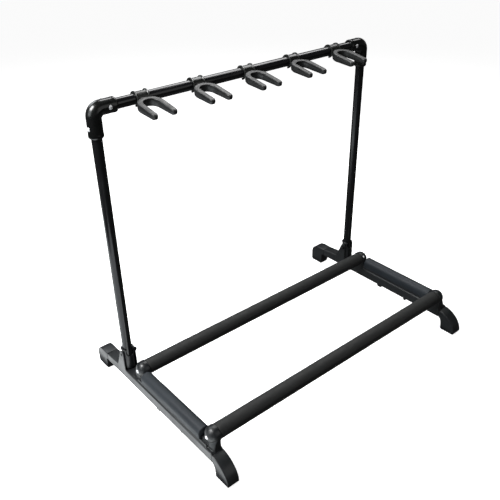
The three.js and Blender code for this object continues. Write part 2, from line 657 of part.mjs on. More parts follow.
for (const [end, y] of [['front', FRONT_TUBE_Y], ['rear', REAR_TUBE_Y]]) {
  piece(`base_tube_${end}`, baseTube(y), finish.lacquer);
  piece(`foam_sleeve_${end}`, foamSleeve(y), finish.foam);
}

piece('top_tube', pipe(TUBE_R, TUBE_WALL, at(-TOP_TUBE_END_X, UPRIGHT_Y, TOP_TUBE_Z), X,
  2 * TOP_TUBE_END_X), finish.lacquer);

for (let i = 0; i < FORK_COUNT; i += 1) {
  const x = (i - (FORK_COUNT - 1) / 2) * FORK_PITCH;
  const place = new THREE.Group();
  place.position.set(x, UPRIGHT_Y, TOP_TUBE_Z);
  place.rotation.x = FORK_TILT;
  place.add(piece(`neck_clip_${i + 1}`, neckClip(), finish.moulding));
  place.add(piece(`neck_fork_${i + 1}`, forkPad(), finish.forkPad));
  rack.add(place);
}

export default rack;
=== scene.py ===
# %% [markdown]
# # A folding rack for five guitars
#
# The rack is black on black: moulded plastic arms, lacquered steel tubes, foam where a guitar leans, and
# a few bright screws. The CAD model holds every size. This script builds the surfaces around it, one
# kind of piece at a time, and each new piece takes its place from the box of the CAD node it stands for.

# %% Load the frame
import json
import math

import bmesh
import bpy
from mathutils import Matrix, Vector, noise


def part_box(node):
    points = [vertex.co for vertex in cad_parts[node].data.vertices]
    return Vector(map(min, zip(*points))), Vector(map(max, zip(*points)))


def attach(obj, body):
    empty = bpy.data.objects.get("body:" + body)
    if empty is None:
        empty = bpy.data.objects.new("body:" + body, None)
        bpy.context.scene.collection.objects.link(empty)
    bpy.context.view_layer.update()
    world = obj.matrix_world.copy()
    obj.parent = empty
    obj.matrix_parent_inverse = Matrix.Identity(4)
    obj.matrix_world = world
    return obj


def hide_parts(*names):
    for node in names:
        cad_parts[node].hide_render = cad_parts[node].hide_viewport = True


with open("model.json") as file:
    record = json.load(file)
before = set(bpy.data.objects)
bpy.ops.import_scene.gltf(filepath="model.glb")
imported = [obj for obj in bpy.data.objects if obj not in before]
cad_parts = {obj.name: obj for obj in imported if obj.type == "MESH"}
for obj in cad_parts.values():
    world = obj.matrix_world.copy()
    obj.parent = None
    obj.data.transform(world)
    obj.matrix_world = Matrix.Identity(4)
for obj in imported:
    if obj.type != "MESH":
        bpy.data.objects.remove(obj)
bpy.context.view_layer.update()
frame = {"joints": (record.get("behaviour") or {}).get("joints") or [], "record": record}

MM = 0.001  # the frame is in metres, and small sizes are easier to read in millimetres
SIDES = {"left": -1, "right": 1}
ENDS = ("front", "rear")

# %% [markdown]
# ## The camera
#
# The rack is seen from its left front corner, from a little above the top tube. A 46 mm lens at about
# 1.6 m gives it a strong but natural perspective. The camera's own axes are built from an
# azimuth, an elevation and a slight roll.

# %% Camera
CAMERA_PLACE = Vector((-0.8654, -0.9231, 1.0252))
CAMERA_AZIMUTH, CAMERA_ELEVATION, CAMERA_ROLL = (math.radians(a) for a in (-38.91, 31.45, -1.35))
CAMERA_LENS = 46.43
CAMERA_SHIFT = (0.0120, 0.0199)


def camera_axes(azimuth, elevation, roll):
    """The camera's local X, Y and Z in the frame. It looks along its own -Z."""
    back = Vector((math.sin(azimuth) * math.cos(elevation),
                   -math.cos(azimuth) * math.cos(elevation), math.sin(elevation)))
    right = Vector((0, 0, 1)).cross(back).normalized()
    up = back.cross(right)
    tilted = math.cos(roll) * right + math.sin(roll) * up
    return tilted, back.cross(tilted), back


camera_data = bpy.data.cameras.new("camera")
camera_data.lens = CAMERA_LENS
camera_data.shift_x, camera_data.shift_y = CAMERA_SHIFT
camera = bpy.data.objects.new("camera", camera_data)
axes = camera_axes(CAMERA_AZIMUTH, CAMERA_ELEVATION, CAMERA_ROLL)
camera.matrix_world = Matrix.Translation(CAMERA_PLACE) @ Matrix(axes).transposed().to_4x4()
bpy.context.scene.collection.objects.link(camera)
bpy.context.scene.camera = camera
print("camera at", tuple(round(c, 3) for c in CAMERA_PLACE))

# %% [markdown]
# ## Mesh helpers
#
# Most of the rack is turned or extruded, so a few small builders cover it: `loft` joins rings of points,
# `lathe` turns a profile about an axis, `prism` extrudes a side outline across the rack, and `fused`
# melts overlapping solids into one skin with small fillets, as a moulding has.

# %% Builders for closed meshes
X, Y, Z = Vector((1, 0, 0)), Vector((0, 1, 0)), Vector((0, 0, 1))


def named(name, mesh):
    """A new object in the scene. It sits at the origin, with its place in its mesh."""
    made = bpy.data.objects.new(name, mesh)
    bpy.context.scene.collection.objects.link(made)
    return made


def from_bmesh(name, bm, smooth=True):
    """Merges doubled points, turns the faces outwards and makes an object."""
    bmesh.ops.remove_doubles(bm, verts=bm.verts, dist=1e-7)
    bmesh.ops.dissolve_degenerate(bm, edges=bm.edges, dist=1e-7)
    bmesh.ops.recalc_face_normals(bm, faces=bm.faces)
    for face in bm.faces:
        face.smooth = smooth
    mesh = bpy.data.meshes.new(name)
    bm.to_mesh(mesh)
    bm.free()
    return named(name, mesh)


def loft(name, rings, closed=False):
    """Joins rings of the same number of points. Open ends get a flat cap; closed joins last to first."""
    bm = bmesh.new()
    rows = [[bm.verts.new(p) for p in ring] for ring in rings]
    count = len(rows[0])
    pairs = list(zip(rows, rows[1:])) + ([(rows[-1], rows[0])] if closed else [])
    for a, b in pairs:
        for i in range(count):
            j = (i + 1) % count
            bm.faces.new((a[i], a[j], b[j], b[i]))
    if not closed:
        bm.faces.new(rows[0])
        bm.faces.new(rows[-1])
    return from_bmesh(name, bm)


def around(axis):
    """Two unit vectors square to an axis."""
    side = (Z if abs(axis.z) < 0.9 else X).cross(axis).normalized()
    return side, axis.cross(side)


def lathe(name, profile, start, axis, steps=96, closed=False):
    """Turns (radius, height) points in millimetres about an axis. A closed profile makes a pipe."""
    u, v = around(axis)
    angles = [2 * math.pi * i / steps for i in range(steps)]
    turns = [math.cos(a) * u + math.sin(a) * v for a in angles]
    rings = [[start + axis * (h * MM) + t * (r * MM) for t in turns] for r, h in profile]
    return loft(name, rings, closed)


def prism(name, outline, low, high, axis=X, bevel=0.0, segments=3):
    """Extrudes an outline of frame points from low to high along an axis, and rounds its sharp edges."""
    bm = bmesh.new()
    first = [bm.verts.new(p + axis * low) for p in outline]
    last = [bm.verts.new(p + axis * high) for p in outline]
    bm.faces.new(first)
    bm.faces.new(last)
    for i, point in enumerate(first):
        j = (i + 1) % len(first)
        bm.faces.new((point, first[j], last[j], last[i]))
    made = from_bmesh(name, bm)
    return rounded(made, bevel, segments) if bevel else made


def block(name, low, high):
    """A box between two corners in millimetres."""
    (x0, y0, z0), (x1, y1, z1) = low, high
    outline = [Vector((0, y, z)) * MM for y, z in ((y0, z0), (y1, z0), (y1, z1), (y0, z1))]
    return prism(name, outline, min(x0, x1) * MM, max(x0, x1) * MM)


def settled(made):
    """Applies an object's modifiers, through the evaluated object."""
    graph = bpy.context.evaluated_depsgraph_get()
    mesh = bpy.data.meshes.new_from_object(made.evaluated_get(graph))
    made.modifiers.clear()
    made.data = mesh
    return made


def rounded(made, width, segments=3, angle=35):
    """Rounds the edges that are sharper than an angle. The width is in metres."""
    modifier = made.modifiers.new("round", "BEVEL")
    modifier.width = width
    modifier.segments = segments
    modifier.limit_method = "ANGLE"
    modifier.angle_limit = math.radians(angle)
    modifier.harden_normals = False
    return settled(made)


def carve(body, tools, operation="DIFFERENCE"):
    """Cuts each tool from the body, or adds it, and removes the tools."""
    for tool in tools:
        modifier = body.modifiers.new("carve", "BOOLEAN")
        modifier.operation = operation
        modifier.solver = "EXACT"
        modifier.object = tool
        settled(body)
        bpy.data.objects.remove(tool)
    return body


def fused(made, voxel, faces, smoothing=3):
    """One even skin over a solid, with its corners eased by a few smoothing passes, then thinned."""
    remesh = made.modifiers.new("skin", "REMESH")
    remesh.mode = "VOXEL"
    remesh.voxel_size = voxel * MM
    remesh.use_smooth_shade = True
    ease = made.modifiers.new("ease", "SMOOTH")
    ease.factor = 0.5
    ease.iterations = smoothing
    settled(made)
    thin = made.modifiers.new("thin", "DECIMATE")
    thin.ratio = min(1.0, faces / max(1, 2 * len(made.data.polygons)))
    thin.use_collapse_triangulate = True
    return settled(made)


def mirrored(made, name):
    """The same mesh on the other side of the rack, with its faces still pointing out."""
    bm = bmesh.new()
    bm.from_mesh(made.data)
    for vertex in bm.verts:
        vertex.co.x = -vertex.co.x
    bmesh.ops.reverse_faces(bm, faces=bm.faces)
    mesh = bpy.data.meshes.new(name)
    bm.to_mesh(mesh)
    bm.free()
    return named(name, mesh)


def creases(made, angle=40):
    """Smooth shading, with edges sharper than an angle kept crisp."""
    made.data.shade_smooth()
    made.data.set_sharp_from_angle(angle=math.radians(angle))
    return made


print("builders ready")

# %% [markdown]
# ## Finishes
#
# Black plastic is never one black. The moulding tool leaves a fine grain, hands leave smoother patches,
# and corners rub paler. One node group, `skin`, carries those effects, so that every finish shares them:
# it gives a tone, a roughness and a height from noise, and finds the worn corners from a value that is
# measured on the mesh.

# %% A helper for node trees
def socket(tree, name, kind, direction, default=None):
    made = tree.interface.new_socket(name, in_out=direction, socket_type="NodeSocket" + kind)
    if default is not None:
        made.default_value = default
    return made


def chain(tree, kind, inputs=None, **settings):
    """Adds a node, sets its properties, and feeds its inputs by name or number."""
    node = tree.nodes.new(kind)
    for key, value in settings.items():
        setattr(node, key, value)
    for key, value in (inputs or {}).items():
        if isinstance(value, bpy.types.NodeSocket):
            tree.links.new(value, node.inputs[key])
        else:
            node.inputs[key].default_value = value
    return node


def noise_at(tree, where, scale, detail=2.0, roughness=0.5):
    """A noise value from object coordinates. The scale is in cycles per metre."""
    return chain(tree, "ShaderNodeTexNoise", {"Vector": where, "Scale": scale, "Detail": detail,
                                              "Roughness": roughness}).outputs["Fac"]


def ranged(tree, value, low, high, to_low, to_high):
    """Maps a value from one range to another, and clamps it."""
    return chain(tree, "ShaderNodeMapRange", {"Value": value, "From Min": low, "From Max": high,
                                              "To Min": to_low, "To Max": to_high}).outputs["Result"]


def mixed(tree, share, a, b):
    """A colour between a and b."""
    node = chain(tree, "ShaderNodeMix", data_type="RGBA")
    for name, value in (("Factor", share), ("A", a), ("B", b)):
        slot = next(s for s in node.inputs if s.name == name and s.enabled)
        if isinstance(value, bpy.types.NodeSocket):
            tree.links.new(value, slot)
        else:
            slot.default_value = value
    return next(s for s in node.outputs if s.enabled)


# %% The shared skin effect
def skin_group():
    """Tone, roughness and height of a moulded or coated skin, from object coordinates."""
    tree = bpy.data.node_groups.new("skin", "ShaderNodeTree")
    for name, kind, default in (("Base", "Color", (0.01, 0.01, 0.01, 1)),
                                ("Pale", "Color", (0.03, 0.03, 0.03, 1)),
                                ("Grain", "Float", 2600.0), ("Patches", "Float", 26.0),
                                ("Smooth", "Float", 0.35), ("Dull", "Float", 0.5),
                                ("Stretch", "Vector", (1.0, 1.0, 1.0))):
        socket(tree, name, kind, "INPUT", default)
    for name, kind in (("Color", "Color"), ("Roughness", "Float"), ("Height", "Float")):
        socket(tree, name, kind, "OUTPUT")
    entry = tree.nodes.new("NodeGroupInput").outputs
    place = tree.nodes.new("ShaderNodeTexCoord").outputs["Object"]
    drawn = chain(tree, "ShaderNodeVectorMath", {0: place, 1: entry["Stretch"]}, operation="MULTIPLY")
    grain = noise_at(tree, drawn.outputs["Vector"], entry["Grain"], 3.0, 0.6)
    patches = noise_at(tree, drawn.outputs["Vector"], entry["Patches"], 4.0, 0.55)
    handled = ranged(tree, patches, 0.38, 0.66, 0.0, 1.0)
    worn = chain(tree, "ShaderNodeAttribute", attribute_name="edge").outputs["Fac"]
    broken = chain(tree, "ShaderNodeMath", {0: worn, 1: ranged(tree, grain, 0.3, 0.6, 0.35, 1.0)},
                   operation="MULTIPLY").outputs["Value"]
    cloudy = chain(tree, "ShaderNodeMath", {0: handled, 1: 0.16}, operation="MULTIPLY").outputs["Value"]
    share = chain(tree, "ShaderNodeMath", {0: broken, 1: cloudy}, operation="ADD", use_clamp=True)
    leave = tree.nodes.new("NodeGroupOutput").inputs
    tree.links.new(mixed(tree, share.outputs["Value"], entry["Base"], entry["Pale"]), leave["Color"])
    rough = chain(tree, "ShaderNodeMix", {"Factor": handled, "A": entry["Smooth"], "B": entry["Dull"]})
    tree.links.new(rough.outputs["Result"], leave["Roughness"])
    tree.links.new(grain, leave["Height"])
    return tree


SKIN = skin_group()
print("node group", SKIN.name)


# %% The foam effect
def cells_group():
    """The open pits and low swells of closed-cell foam."""
    tree = bpy.data.node_groups.new("foam cells", "ShaderNodeTree")
    socket(tree, "Cell scale", "Float", "INPUT", 900.0)
    socket(tree, "Swell scale", "Float", "INPUT", 60.0)
    for name in ("Height", "Pits"):
        socket(tree, name, "Float", "OUTPUT")
    entry = tree.nodes.new("NodeGroupInput").outputs
    place = tree.nodes.new("ShaderNodeTexCoord").outputs["Object"]
    cells = chain(tree, "ShaderNodeTexVoronoi", {"Vector": place, "Scale": entry["Cell scale"]})
    pits = ranged(tree, cells.outputs["Distance"], 0.05, 0.6, 0.0, 1.0)
    swell = noise_at(tree, place, entry["Swell scale"], 3.0)
    height = chain(tree, "ShaderNodeMath", {0: swell, 1: 2.0, 2: pits}, operation="MULTIPLY_ADD")
    leave = tree.nodes.new("NodeGroupOutput").inputs
    tree.links.new(height.outputs["Value"], leave["Height"])
    tree.links.new(pits, leave["Pits"])
    return tree


CELLS = cells_group()
print("node group", CELLS.name)


# %% Materials
def finish(name, base, pale, smooth, dull, grain=2600.0, patches=26.0, bump=0.05, stretch=(1, 1, 1),
           **constants):
    """A Principled material whose colour, roughness and fine relief come from the skin group."""
    made = bpy.data.materials.new(name)
    made.use_nodes = True
    tree = made.node_tree
    shader = tree.nodes["Principled BSDF"]
    skin = chain(tree, "ShaderNodeGroup", node_tree=SKIN)
    skin.inputs["Base"].default_value = (*base, 1)
    skin.inputs["Pale"].default_value = (*pale, 1)
    for key, value in (("Grain", grain), ("Patches", patches), ("Smooth", smooth), ("Dull", dull),
                       ("Stretch", stretch)):
        skin.inputs[key].default_value = value
    tree.links.new(skin.outputs["Color"], shader.inputs["Base Color"])
    tree.links.new(skin.outputs["Roughness"], shader.inputs["Roughness"])
    relief = chain(tree, "ShaderNodeBump", {"Strength": bump, "Distance": 0.2 * MM,
                                            "Height": skin.outputs["Height"]})
    tree.links.new(relief.outputs["Normal"], shader.inputs["Normal"])
    for key, value in constants.items():
        shader.inputs[key.replace("_", " ")].default_value = value
    made.diffuse_color = (*base, 1)
    return made


MOULDING = finish("moulded plastic", (0.0068, 0.0078, 0.0088), (0.026, 0.028, 0.029), 0.30, 0.42,
                  bump=0.16, patches=30.0)
ELBOW_PLASTIC = finish("elbow plastic", (0.003, 0.0033, 0.0032), (0.02, 0.021, 0.021), 0.17, 0.27,
                       bump=0.05)
CLIP_PLASTIC = finish("clip plastic", (0.006, 0.0066, 0.006), (0.03, 0.032, 0.03), 0.24, 0.36, bump=0.08)
LACQUER = finish("tube lacquer", (0.0022, 0.0023, 0.0028), (0.012, 0.012, 0.014), 0.13, 0.24,
                 grain=700.0, bump=0.05, patches=18.0, stretch=(1, 1, 1))
ARM_RUBBER = finish("arm pad rubber", (0.011, 0.014, 0.018), (0.04, 0.05, 0.057), 0.50, 0.66,
                    grain=1500.0, patches=34.0, bump=0.22, stretch=(1, 0.4, 1), Specular_IOR_Level=0.32)
FORK_RUBBER = finish("fork rubber", (0.0040, 0.0043, 0.0043), (0.028, 0.029, 0.029), 0.36, 0.50,
                     grain=1800.0, bump=0.18, patches=60.0)
SOLE_RUBBER = finish("sole rubber", (0.006, 0.006, 0.006), (0.03, 0.03, 0.03), 0.7, 0.9, bump=0.3)
CHROME = finish("bright plate", (0.90, 0.91, 0.92), (0.72, 0.74, 0.75), 0.22, 0.34, bump=0.02, Metallic=0.25)
BLACK_STEEL = finish("black steel", (0.03, 0.03, 0.032), (0.12, 0.12, 0.12), 0.28, 0.4, bump=0.06,
                     Metallic=1.0)


def foam_finish():
    """Matt foam: a soft bloom at grazing angles, and a fine pitted relief."""
    made = finish("foam", (0.0045, 0.005, 0.0048), (0.018, 0.019, 0.018), 0.62, 0.78, grain=1200.0,
                  patches=40.0, bump=0.2)
    tree = made.node_tree
    shader = tree.nodes["Principled BSDF"]
    cells = chain(tree, "ShaderNodeGroup", node_tree=CELLS)
    relief = next(n for n in tree.nodes if n.type == "BUMP")
    tree.links.new(cells.outputs["Height"], relief.inputs["Height"])
    relief.inputs["Strength"].default_value = 0.35
    shader.inputs["Sheen Weight"].default_value = 0.04
    shader.inputs["Sheen Roughness"].default_value = 0.5
    return made


FOAM = foam_finish()
print(len(bpy.data.materials), "materials")


# %% Mark the corners that rub
def mark_edges(made, reach=1.0):
    """Stores how far each point stands out from its neighbours, as the float attribute "edge"."""
    bm = bmesh.new()
    bm.from_mesh(made.data)
    bm.normal_update()
    values = []
    for vertex in bm.verts:
        around_it = [edge.other_vert(vertex).co for edge in vertex.link_edges]
        middle = sum(around_it, Vector()) / max(1, len(around_it))
        length = sum((p - vertex.co).length for p in around_it) / max(1, len(around_it))
        bulge = (vertex.co - middle).dot(vertex.normal) / max(length, 1e-9)
        values.append(min(1.0, max(0.0, (bulge - 0.10) * 3.0 * reach)))
    bm.free()
    made.data.attributes.new("edge", "FLOAT", "POINT").data.foreach_set("value", values)
    return made


def dress(made, material, slot, body, *nodes, reach=1.0):
    """Gives a piece its finish, its body and the CAD nodes that it stands for."""
    made.data.materials.clear()
    made.data.materials.append(material)
    mark_edges(made, reach)
    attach(made, body)
    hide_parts(*nodes)
    print(made.name, len(made.data.polygons), "faces on", body)
    return made


BODY_OF = {node: body for body, nodes in frame["record"]["behaviour"]["bodies"].items() for node in nodes}

# %% [markdown]
# ## Tubes
#
# The five steel tubes follow one rule: a thin wall, swept once round an axis, with its cut ends slightly
# rounded. A Geometry Nodes tree holds that rule. It draws the wall's section as a filleted rectangle and
# sweeps it round a circle, so both rims and the bore come out as one closed skin.

# %% The tube tree
def tube_tree():
    tree = bpy.data.node_groups.new("tube", "GeometryNodeTree")
    for name, kind, default in (("Radius", "Float", 0.01), ("Wall", "Float", 0.0012),
                                ("Length", "Float", 0.5), ("Rim", "Float", 0.0004),
                                ("Sides", "Int", 96), ("Centre", "Vector", (0, 0, 0)),
                                ("Turn", "Vector", (0, 0, 0)), ("Finish", "Material", None)):
        socket(tree, name, kind, "INPUT", default)
    socket(tree, "Geometry", "Geometry", "OUTPUT")
    entry = tree.nodes.new("NodeGroupInput").outputs
    half = chain(tree, "ShaderNodeMath", {0: entry["Wall"], 1: 0.5}, operation="MULTIPLY").outputs[0]
    middle = chain(tree, "ShaderNodeMath", {0: entry["Radius"], 1: half}, operation="SUBTRACT").outputs[0]
    path = chain(tree, "GeometryNodeCurvePrimitiveCircle", {"Resolution": entry["Sides"], "Radius": middle})
    section = chain(tree, "GeometryNodeCurvePrimitiveQuadrilateral",
                    {"Width": entry["Wall"], "Height": entry["Length"]})
    soft = chain(tree, "GeometryNodeFilletCurve", {"Curve": section.outputs["Curve"], "Radius": entry["Rim"]})
    if "Count" in soft.inputs:
        soft.mode = "POLY"
        soft.inputs["Count"].default_value = 3
    swept = chain(tree, "GeometryNodeCurveToMesh", {"Curve": path.outputs["Curve"],
                                                    "Profile Curve": soft.outputs["Curve"]})
    shaded = chain(tree, "GeometryNodeSetShadeSmooth", {"Geometry": swept.outputs["Mesh"]})
    placed = chain(tree, "GeometryNodeTransform", {"Geometry": shaded.outputs["Geometry"],
                                                   "Translation": entry["Centre"],
                                                   "Rotation": entry["Turn"]})
    real = chain(tree, "GeometryNodeRealizeInstances", {"Geometry": placed.outputs["Geometry"]})
    painted = chain(tree, "GeometryNodeSetMaterial", {"Geometry": real.outputs["Geometry"],
                                                      "Material": entry["Finish"]})
    leave = tree.nodes.new("NodeGroupOutput").inputs
    tree.links.new(painted.outputs["Geometry"], leave["Geometry"])
    return tree


def grown(name, tree, values, base=None):
    """Runs a Geometry Nodes tree with named values, and keeps the plain mesh that it makes."""
    made = base or named(name, bpy.data.meshes.new(name))
    modifier = made.modifiers.new(tree.name, "NODES")
    modifier.node_group = tree
    for entry in tree.interface.items_tree:
        if entry.item_type == "SOCKET" and entry.in_out == "INPUT" and entry.name in values:
            modifier[entry.identifier] = values[entry.name]
    return settled(made)


def outward(made):
    """Turns every face of a closed mesh outwards."""
    bm = bmesh.new()
    bm.from_mesh(made.data)
    bmesh.ops.remove_doubles(bm, verts=bm.verts, dist=1e-7)
    bmesh.ops.recalc_face_normals(bm, faces=bm.faces)
    bm.to_mesh(made.data)
    bm.free()
    return made


TUBE_TREE = tube_tree()
TUBE_WALL = 1.2 * MM
RIM = 0.4 * MM


def tube(node, slot):
    """A tube in the place of its CAD node, along the node's longest side."""
    low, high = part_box(node)
    size = high - low
    along = max(range(3), key=lambda k: size[k])
    radius = size[(along + 1) % 3] / 2
    turn = ((0, math.pi / 2, 0), (math.pi / 2, 0, 0), (0, 0, 0))[along]
    values = {"Radius": radius, "Wall": TUBE_WALL, "Length": size[along], "Rim": RIM, "Sides": 96,
              "Centre": (low + high) / 2, "Turn": turn, "Finish": LACQUER}
    made = creases(outward(grown(node + "_skin", TUBE_TREE, values)), 30)
    return dress(made, LACQUER, slot, BODY_OF[node], node, reach=0.4)


for node in ("upright_tube_left", "upright_tube_right", "top_tube", "base_tube_front", "base_tube_rear"):
    tube(node, "lacquered_tube")

# %% [markdown]
# ## Foam sleeves
#
# A sleeve is foam pushed over a tube, so it is never a perfect cylinder. It swells and thins slightly
# along its length, and its cut ends are soft. Rings of points with a smooth noise on their radius give
# that, and stay inside the CAD node's size.

# %% Foam sleeves
FOAM_STEP = 5 * MM  # between rings
FOAM_SWELL = 0.35  # millimetres, of uneven radius
FOAM_LIP = 3.2  # millimetres, rounded at each end
FOAM_BORE = 10.7


def foam_radius(from_end, outer):
    """The outer radius near an end: a quarter-ellipse lip, then the full size."""
    if from_end >= FOAM_LIP:
        return outer
    share = 1 - from_end / FOAM_LIP
    return outer - 2.2 * (1 - math.sqrt(max(0.0, 1 - share * share)))


def foam_sleeve(end):
    node = "foam_sleeve_" + end
    low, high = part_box(node)
    centre, outer = (low + high) / 2, (high.z - low.z) / 2 / MM
    lip = [i * FOAM_LIP / 5 * MM for i in range(6)]
    count = round((high.x - low.x - 2 * lip[-1]) / FOAM_STEP)
    inside = [low.x + lip[-1] + (high.x - low.x - 2 * lip[-1]) * i / count for i in range(1, count)]
    places = [low.x + d for d in lip] + inside + [high.x - d for d in reversed(lip)]
    steps = 72
    rings = []
    for x in places:
        from_end = min(x - low.x, high.x - x) / MM
        ring = []
        for i in range(steps):
            angle = 2 * math.pi * i / steps
            y, z = math.cos(angle), math.sin(angle)
            rough = noise.noise(Vector((x * 28, y * 0.7 + len(end), z * 0.7)))
            radius = foam_radius(from_end, outer) - FOAM_SWELL * (0.5 - 0.5 * rough)
            ring.append(Vector((x, centre.y + y * radius * MM, centre.z + z * radius * MM)))
        rings.append(ring)
    bore = [[Vector((x, centre.y + math.cos(2 * math.pi * i / steps) * FOAM_BORE * MM,
                     centre.z + math.sin(2 * math.pi * i / steps) * FOAM_BORE * MM))
             for i in range(steps)] for x in (high.x, low.x)]
    made = creases(loft(node + "_soft", rings + bore, closed=True), 50)
    dress(made, FOAM, "foam", BODY_OF[node], node, reach=0.3)
    return made


for end in ENDS:
    foam_sleeve(end)

# %% [markdown]
# ## Side arms
#
# Each arm is one moulding: a hollow bar, a plinth for the pad, a domed boss on each tube and two ears
# for the fold. Building it from overlapping solids and then melting them with a voxel remesh gives the
# small fillets that a moulding tool leaves, which bevels on a boolean result would not. The cells below
# repeat, so Geometry Nodes lay them out as a row of blocks, which are cut away.

# %% A row of blocks
def row_tree():
    """Blocks of one size in a row along Y: cutters for cells and grooves."""
    tree = bpy.data.node_groups.new("row of blocks", "GeometryNodeTree")
    for name, kind, default in (("Size", "Vector", (0.01, 0.01, 0.01)), ("Pitch", "Float", 0.05),
                                ("Count", "Int", 8), ("First", "Vector", (0, 0, 0)),
                                ("Finish", "Material", None)):
        socket(tree, name, kind, "INPUT", default)
    socket(tree, "Geometry", "Geometry", "OUTPUT")
    entry = tree.nodes.new("NodeGroupInput").outputs
    step = chain(tree, "ShaderNodeCombineXYZ", {"Y": entry["Pitch"]})
    line = chain(tree, "GeometryNodeMeshLine", {"Count": entry["Count"], "Start Location": entry["First"],
                                                "Offset": step.outputs["Vector"]})
    cube = chain(tree, "GeometryNodeMeshCube", {"Size": entry["Size"]})
    row = chain(tree, "GeometryNodeInstanceOnPoints", {"Points": line.outputs["Mesh"],
                                                       "Instance": cube.outputs["Mesh"]})
    real = chain(tree, "GeometryNodeRealizeInstances", {"Geometry": row.outputs["Instances"]})
    painted = chain(tree, "GeometryNodeSetMaterial", {"Geometry": real.outputs["Geometry"],
                                                      "Material": entry["Finish"]})
    leave = tree.nodes.new("NodeGroupOutput").inputs
    tree.links.new(painted.outputs["Geometry"], leave["Geometry"])
    return tree


ROW_TREE = row_tree()


def row(size, pitch, count, first, finish_name):
    """The row, in millimetres."""
    return grown("row", ROW_TREE, {"Size": Vector(size) * MM, "Pitch": pitch * MM, "Count": count,
                                   "First": Vector(first) * MM, "Finish": finish_name})


# %% Sizes of an arm, in millimetres
ARM_LOW, ARM_HIGH = (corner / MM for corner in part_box("side_arm_right"))
FOAM_LOW, FOAM_HIGH = (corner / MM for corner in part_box("foam_sleeve_front"))
ARM_OUTER = ARM_HIGH.x
EAR_INNER = ARM_LOW.x
ARM_INNER = FOAM_HIGH.x + 0.6
ARM_END = ARM_HIGH.y
ARM_BOTTOM = ARM_LOW.z
ARM_TOP = ARM_BOTTOM + 23
ARM_MIDDLE = (ARM_INNER + ARM_OUTER) / 2
TUBE_AXES = {end: (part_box("base_tube_" + end)[0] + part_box("base_tube_" + end)[1]) / 2 / MM for end in ENDS}
BASE_Z = TUBE_AXES["front"].z
BOSS = 18.3
UPRIGHT = (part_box("upright_tube_right")[0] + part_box("upright_tube_right")[1]) / 2 / MM
PIVOT = Vector(frame["joints"][0]["pos_m"]) / MM
print("arm", round(ARM_INNER, 1), "to", round(ARM_OUTER, 1), "pivot", [round(c, 1) for c in PIVOT])


# %% Outlines of an arm
def flat(points):
    """(y, z) pairs in millimetres as frame points in the plane across the rack."""
    return [Vector((0, y, z)) * MM for y, z in points]


def arc(centre, radius, start, stop, steps):
    """Points on an arc in the (y, z) plane. Angles are in degrees, from +Y towards +Z."""
    turns = [math.radians(start + (stop - start) * i / steps) for i in range(steps + 1)]
    return [(centre[0] + radius * math.cos(a), centre[1] + radius * math.sin(a)) for a in turns]


def curve(points, steps):
    """A Bezier curve of three or four control points."""
    order = len(points) - 1
    made = []
    for i in range(steps + 1):
        t = i / steps
        weights = [math.comb(order, k) * t ** k * (1 - t) ** (order - k) for k in range(order + 1)]
        made.append(tuple(sum(w * p[k] for w, p in zip(weights, points)) for k in (0, 1)))
    return made


def bar_outline():
    return flat([(-ARM_END, ARM_BOTTOM), (ARM_END, ARM_BOTTOM), (ARM_END, ARM_TOP - 3.8),
                 (PIVOT.y + 25.7, ARM_TOP), (-ARM_END + 6, ARM_TOP), (-ARM_END, ARM_TOP - 1.6)])


def pedestal(y, flare):
    """The foot of a boss: wide and square on the arm, then drawn in until it meets the dome."""
    rings = []
    for i in range(13):
        share = i / 12
        z = ARM_TOP - 4 + (BASE_Z - ARM_TOP + 4) * share
        half = BOSS + flare * max(0.0, 1 - 1.6 * share) ** 2
        outer = ARM_INNER + 22.3 - 10.5 * share ** 2.2
        middle, wide = (ARM_INNER + outer) / 2, (outer - ARM_INNER) / 2
        ring = []
        for k in range(48):
            a = 2 * math.pi * (k + 0.5) / 48
            cx, cy = (abs(f) ** 0.42 * (1 if f > 0 else -1) for f in (math.cos(a), math.sin(a)))
            ring.append(Vector((middle + cx * wide, y + cy * half, z)) * MM)
        rings.append(ring)
    return loft("pedestal", rings)


def ear_outline():
    top = PIVOT.z + 9.6
    crown = (curve([(PIVOT.y + 6.2, PIVOT.z + 6.6), (PIVOT.y + 4.2, top - 0.2), (PIVOT.y, top)], 8)
             + curve([(PIVOT.y, top), (PIVOT.y - 6.1, top - 0.2), (PIVOT.y - 7.1, PIVOT.z + 4)], 8)[1:])
    return flat([(PIVOT.y + 24.7, ARM_TOP - 8), (PIVOT.y + 24.7, ARM_TOP)] + crown
                + [(PIVOT.y - 8.1, ARM_TOP + 4), (PIVOT.y - 10.3, ARM_TOP), (PIVOT.y - 10.3, ARM_TOP - 8)])


# %% The arm's solid
BOSS_SHOULDER, BOSS_END, BOSS_BORE = 7.8, 24.1, 14.3  # from the arm's inner face
SCREW_SEAT = BOSS_END - 1.2
EAR_WALL = 3.0
SET_SCREW_X, SET_SCREW_TILT = 353.0, math.radians(38)


def boss_profile(y):
    dome = [(BOSS * math.cos(a), BOSS_SHOULDER + (BOSS_END - BOSS_SHOULDER) * math.sin(a))
            for a in (math.radians(90 * i / 14) for i in range(15))]
    return [(0, 0), (BOSS - 0.8, 0), (BOSS, 0.8)] + dome


def rod(name, radius, start, axis, length, steps=48):
    """A plain round bar, in millimetres."""
    return lathe(name, [(0, 0), (radius, 0), (radius, length), (0, length)], Vector(start) * MM, axis, steps)


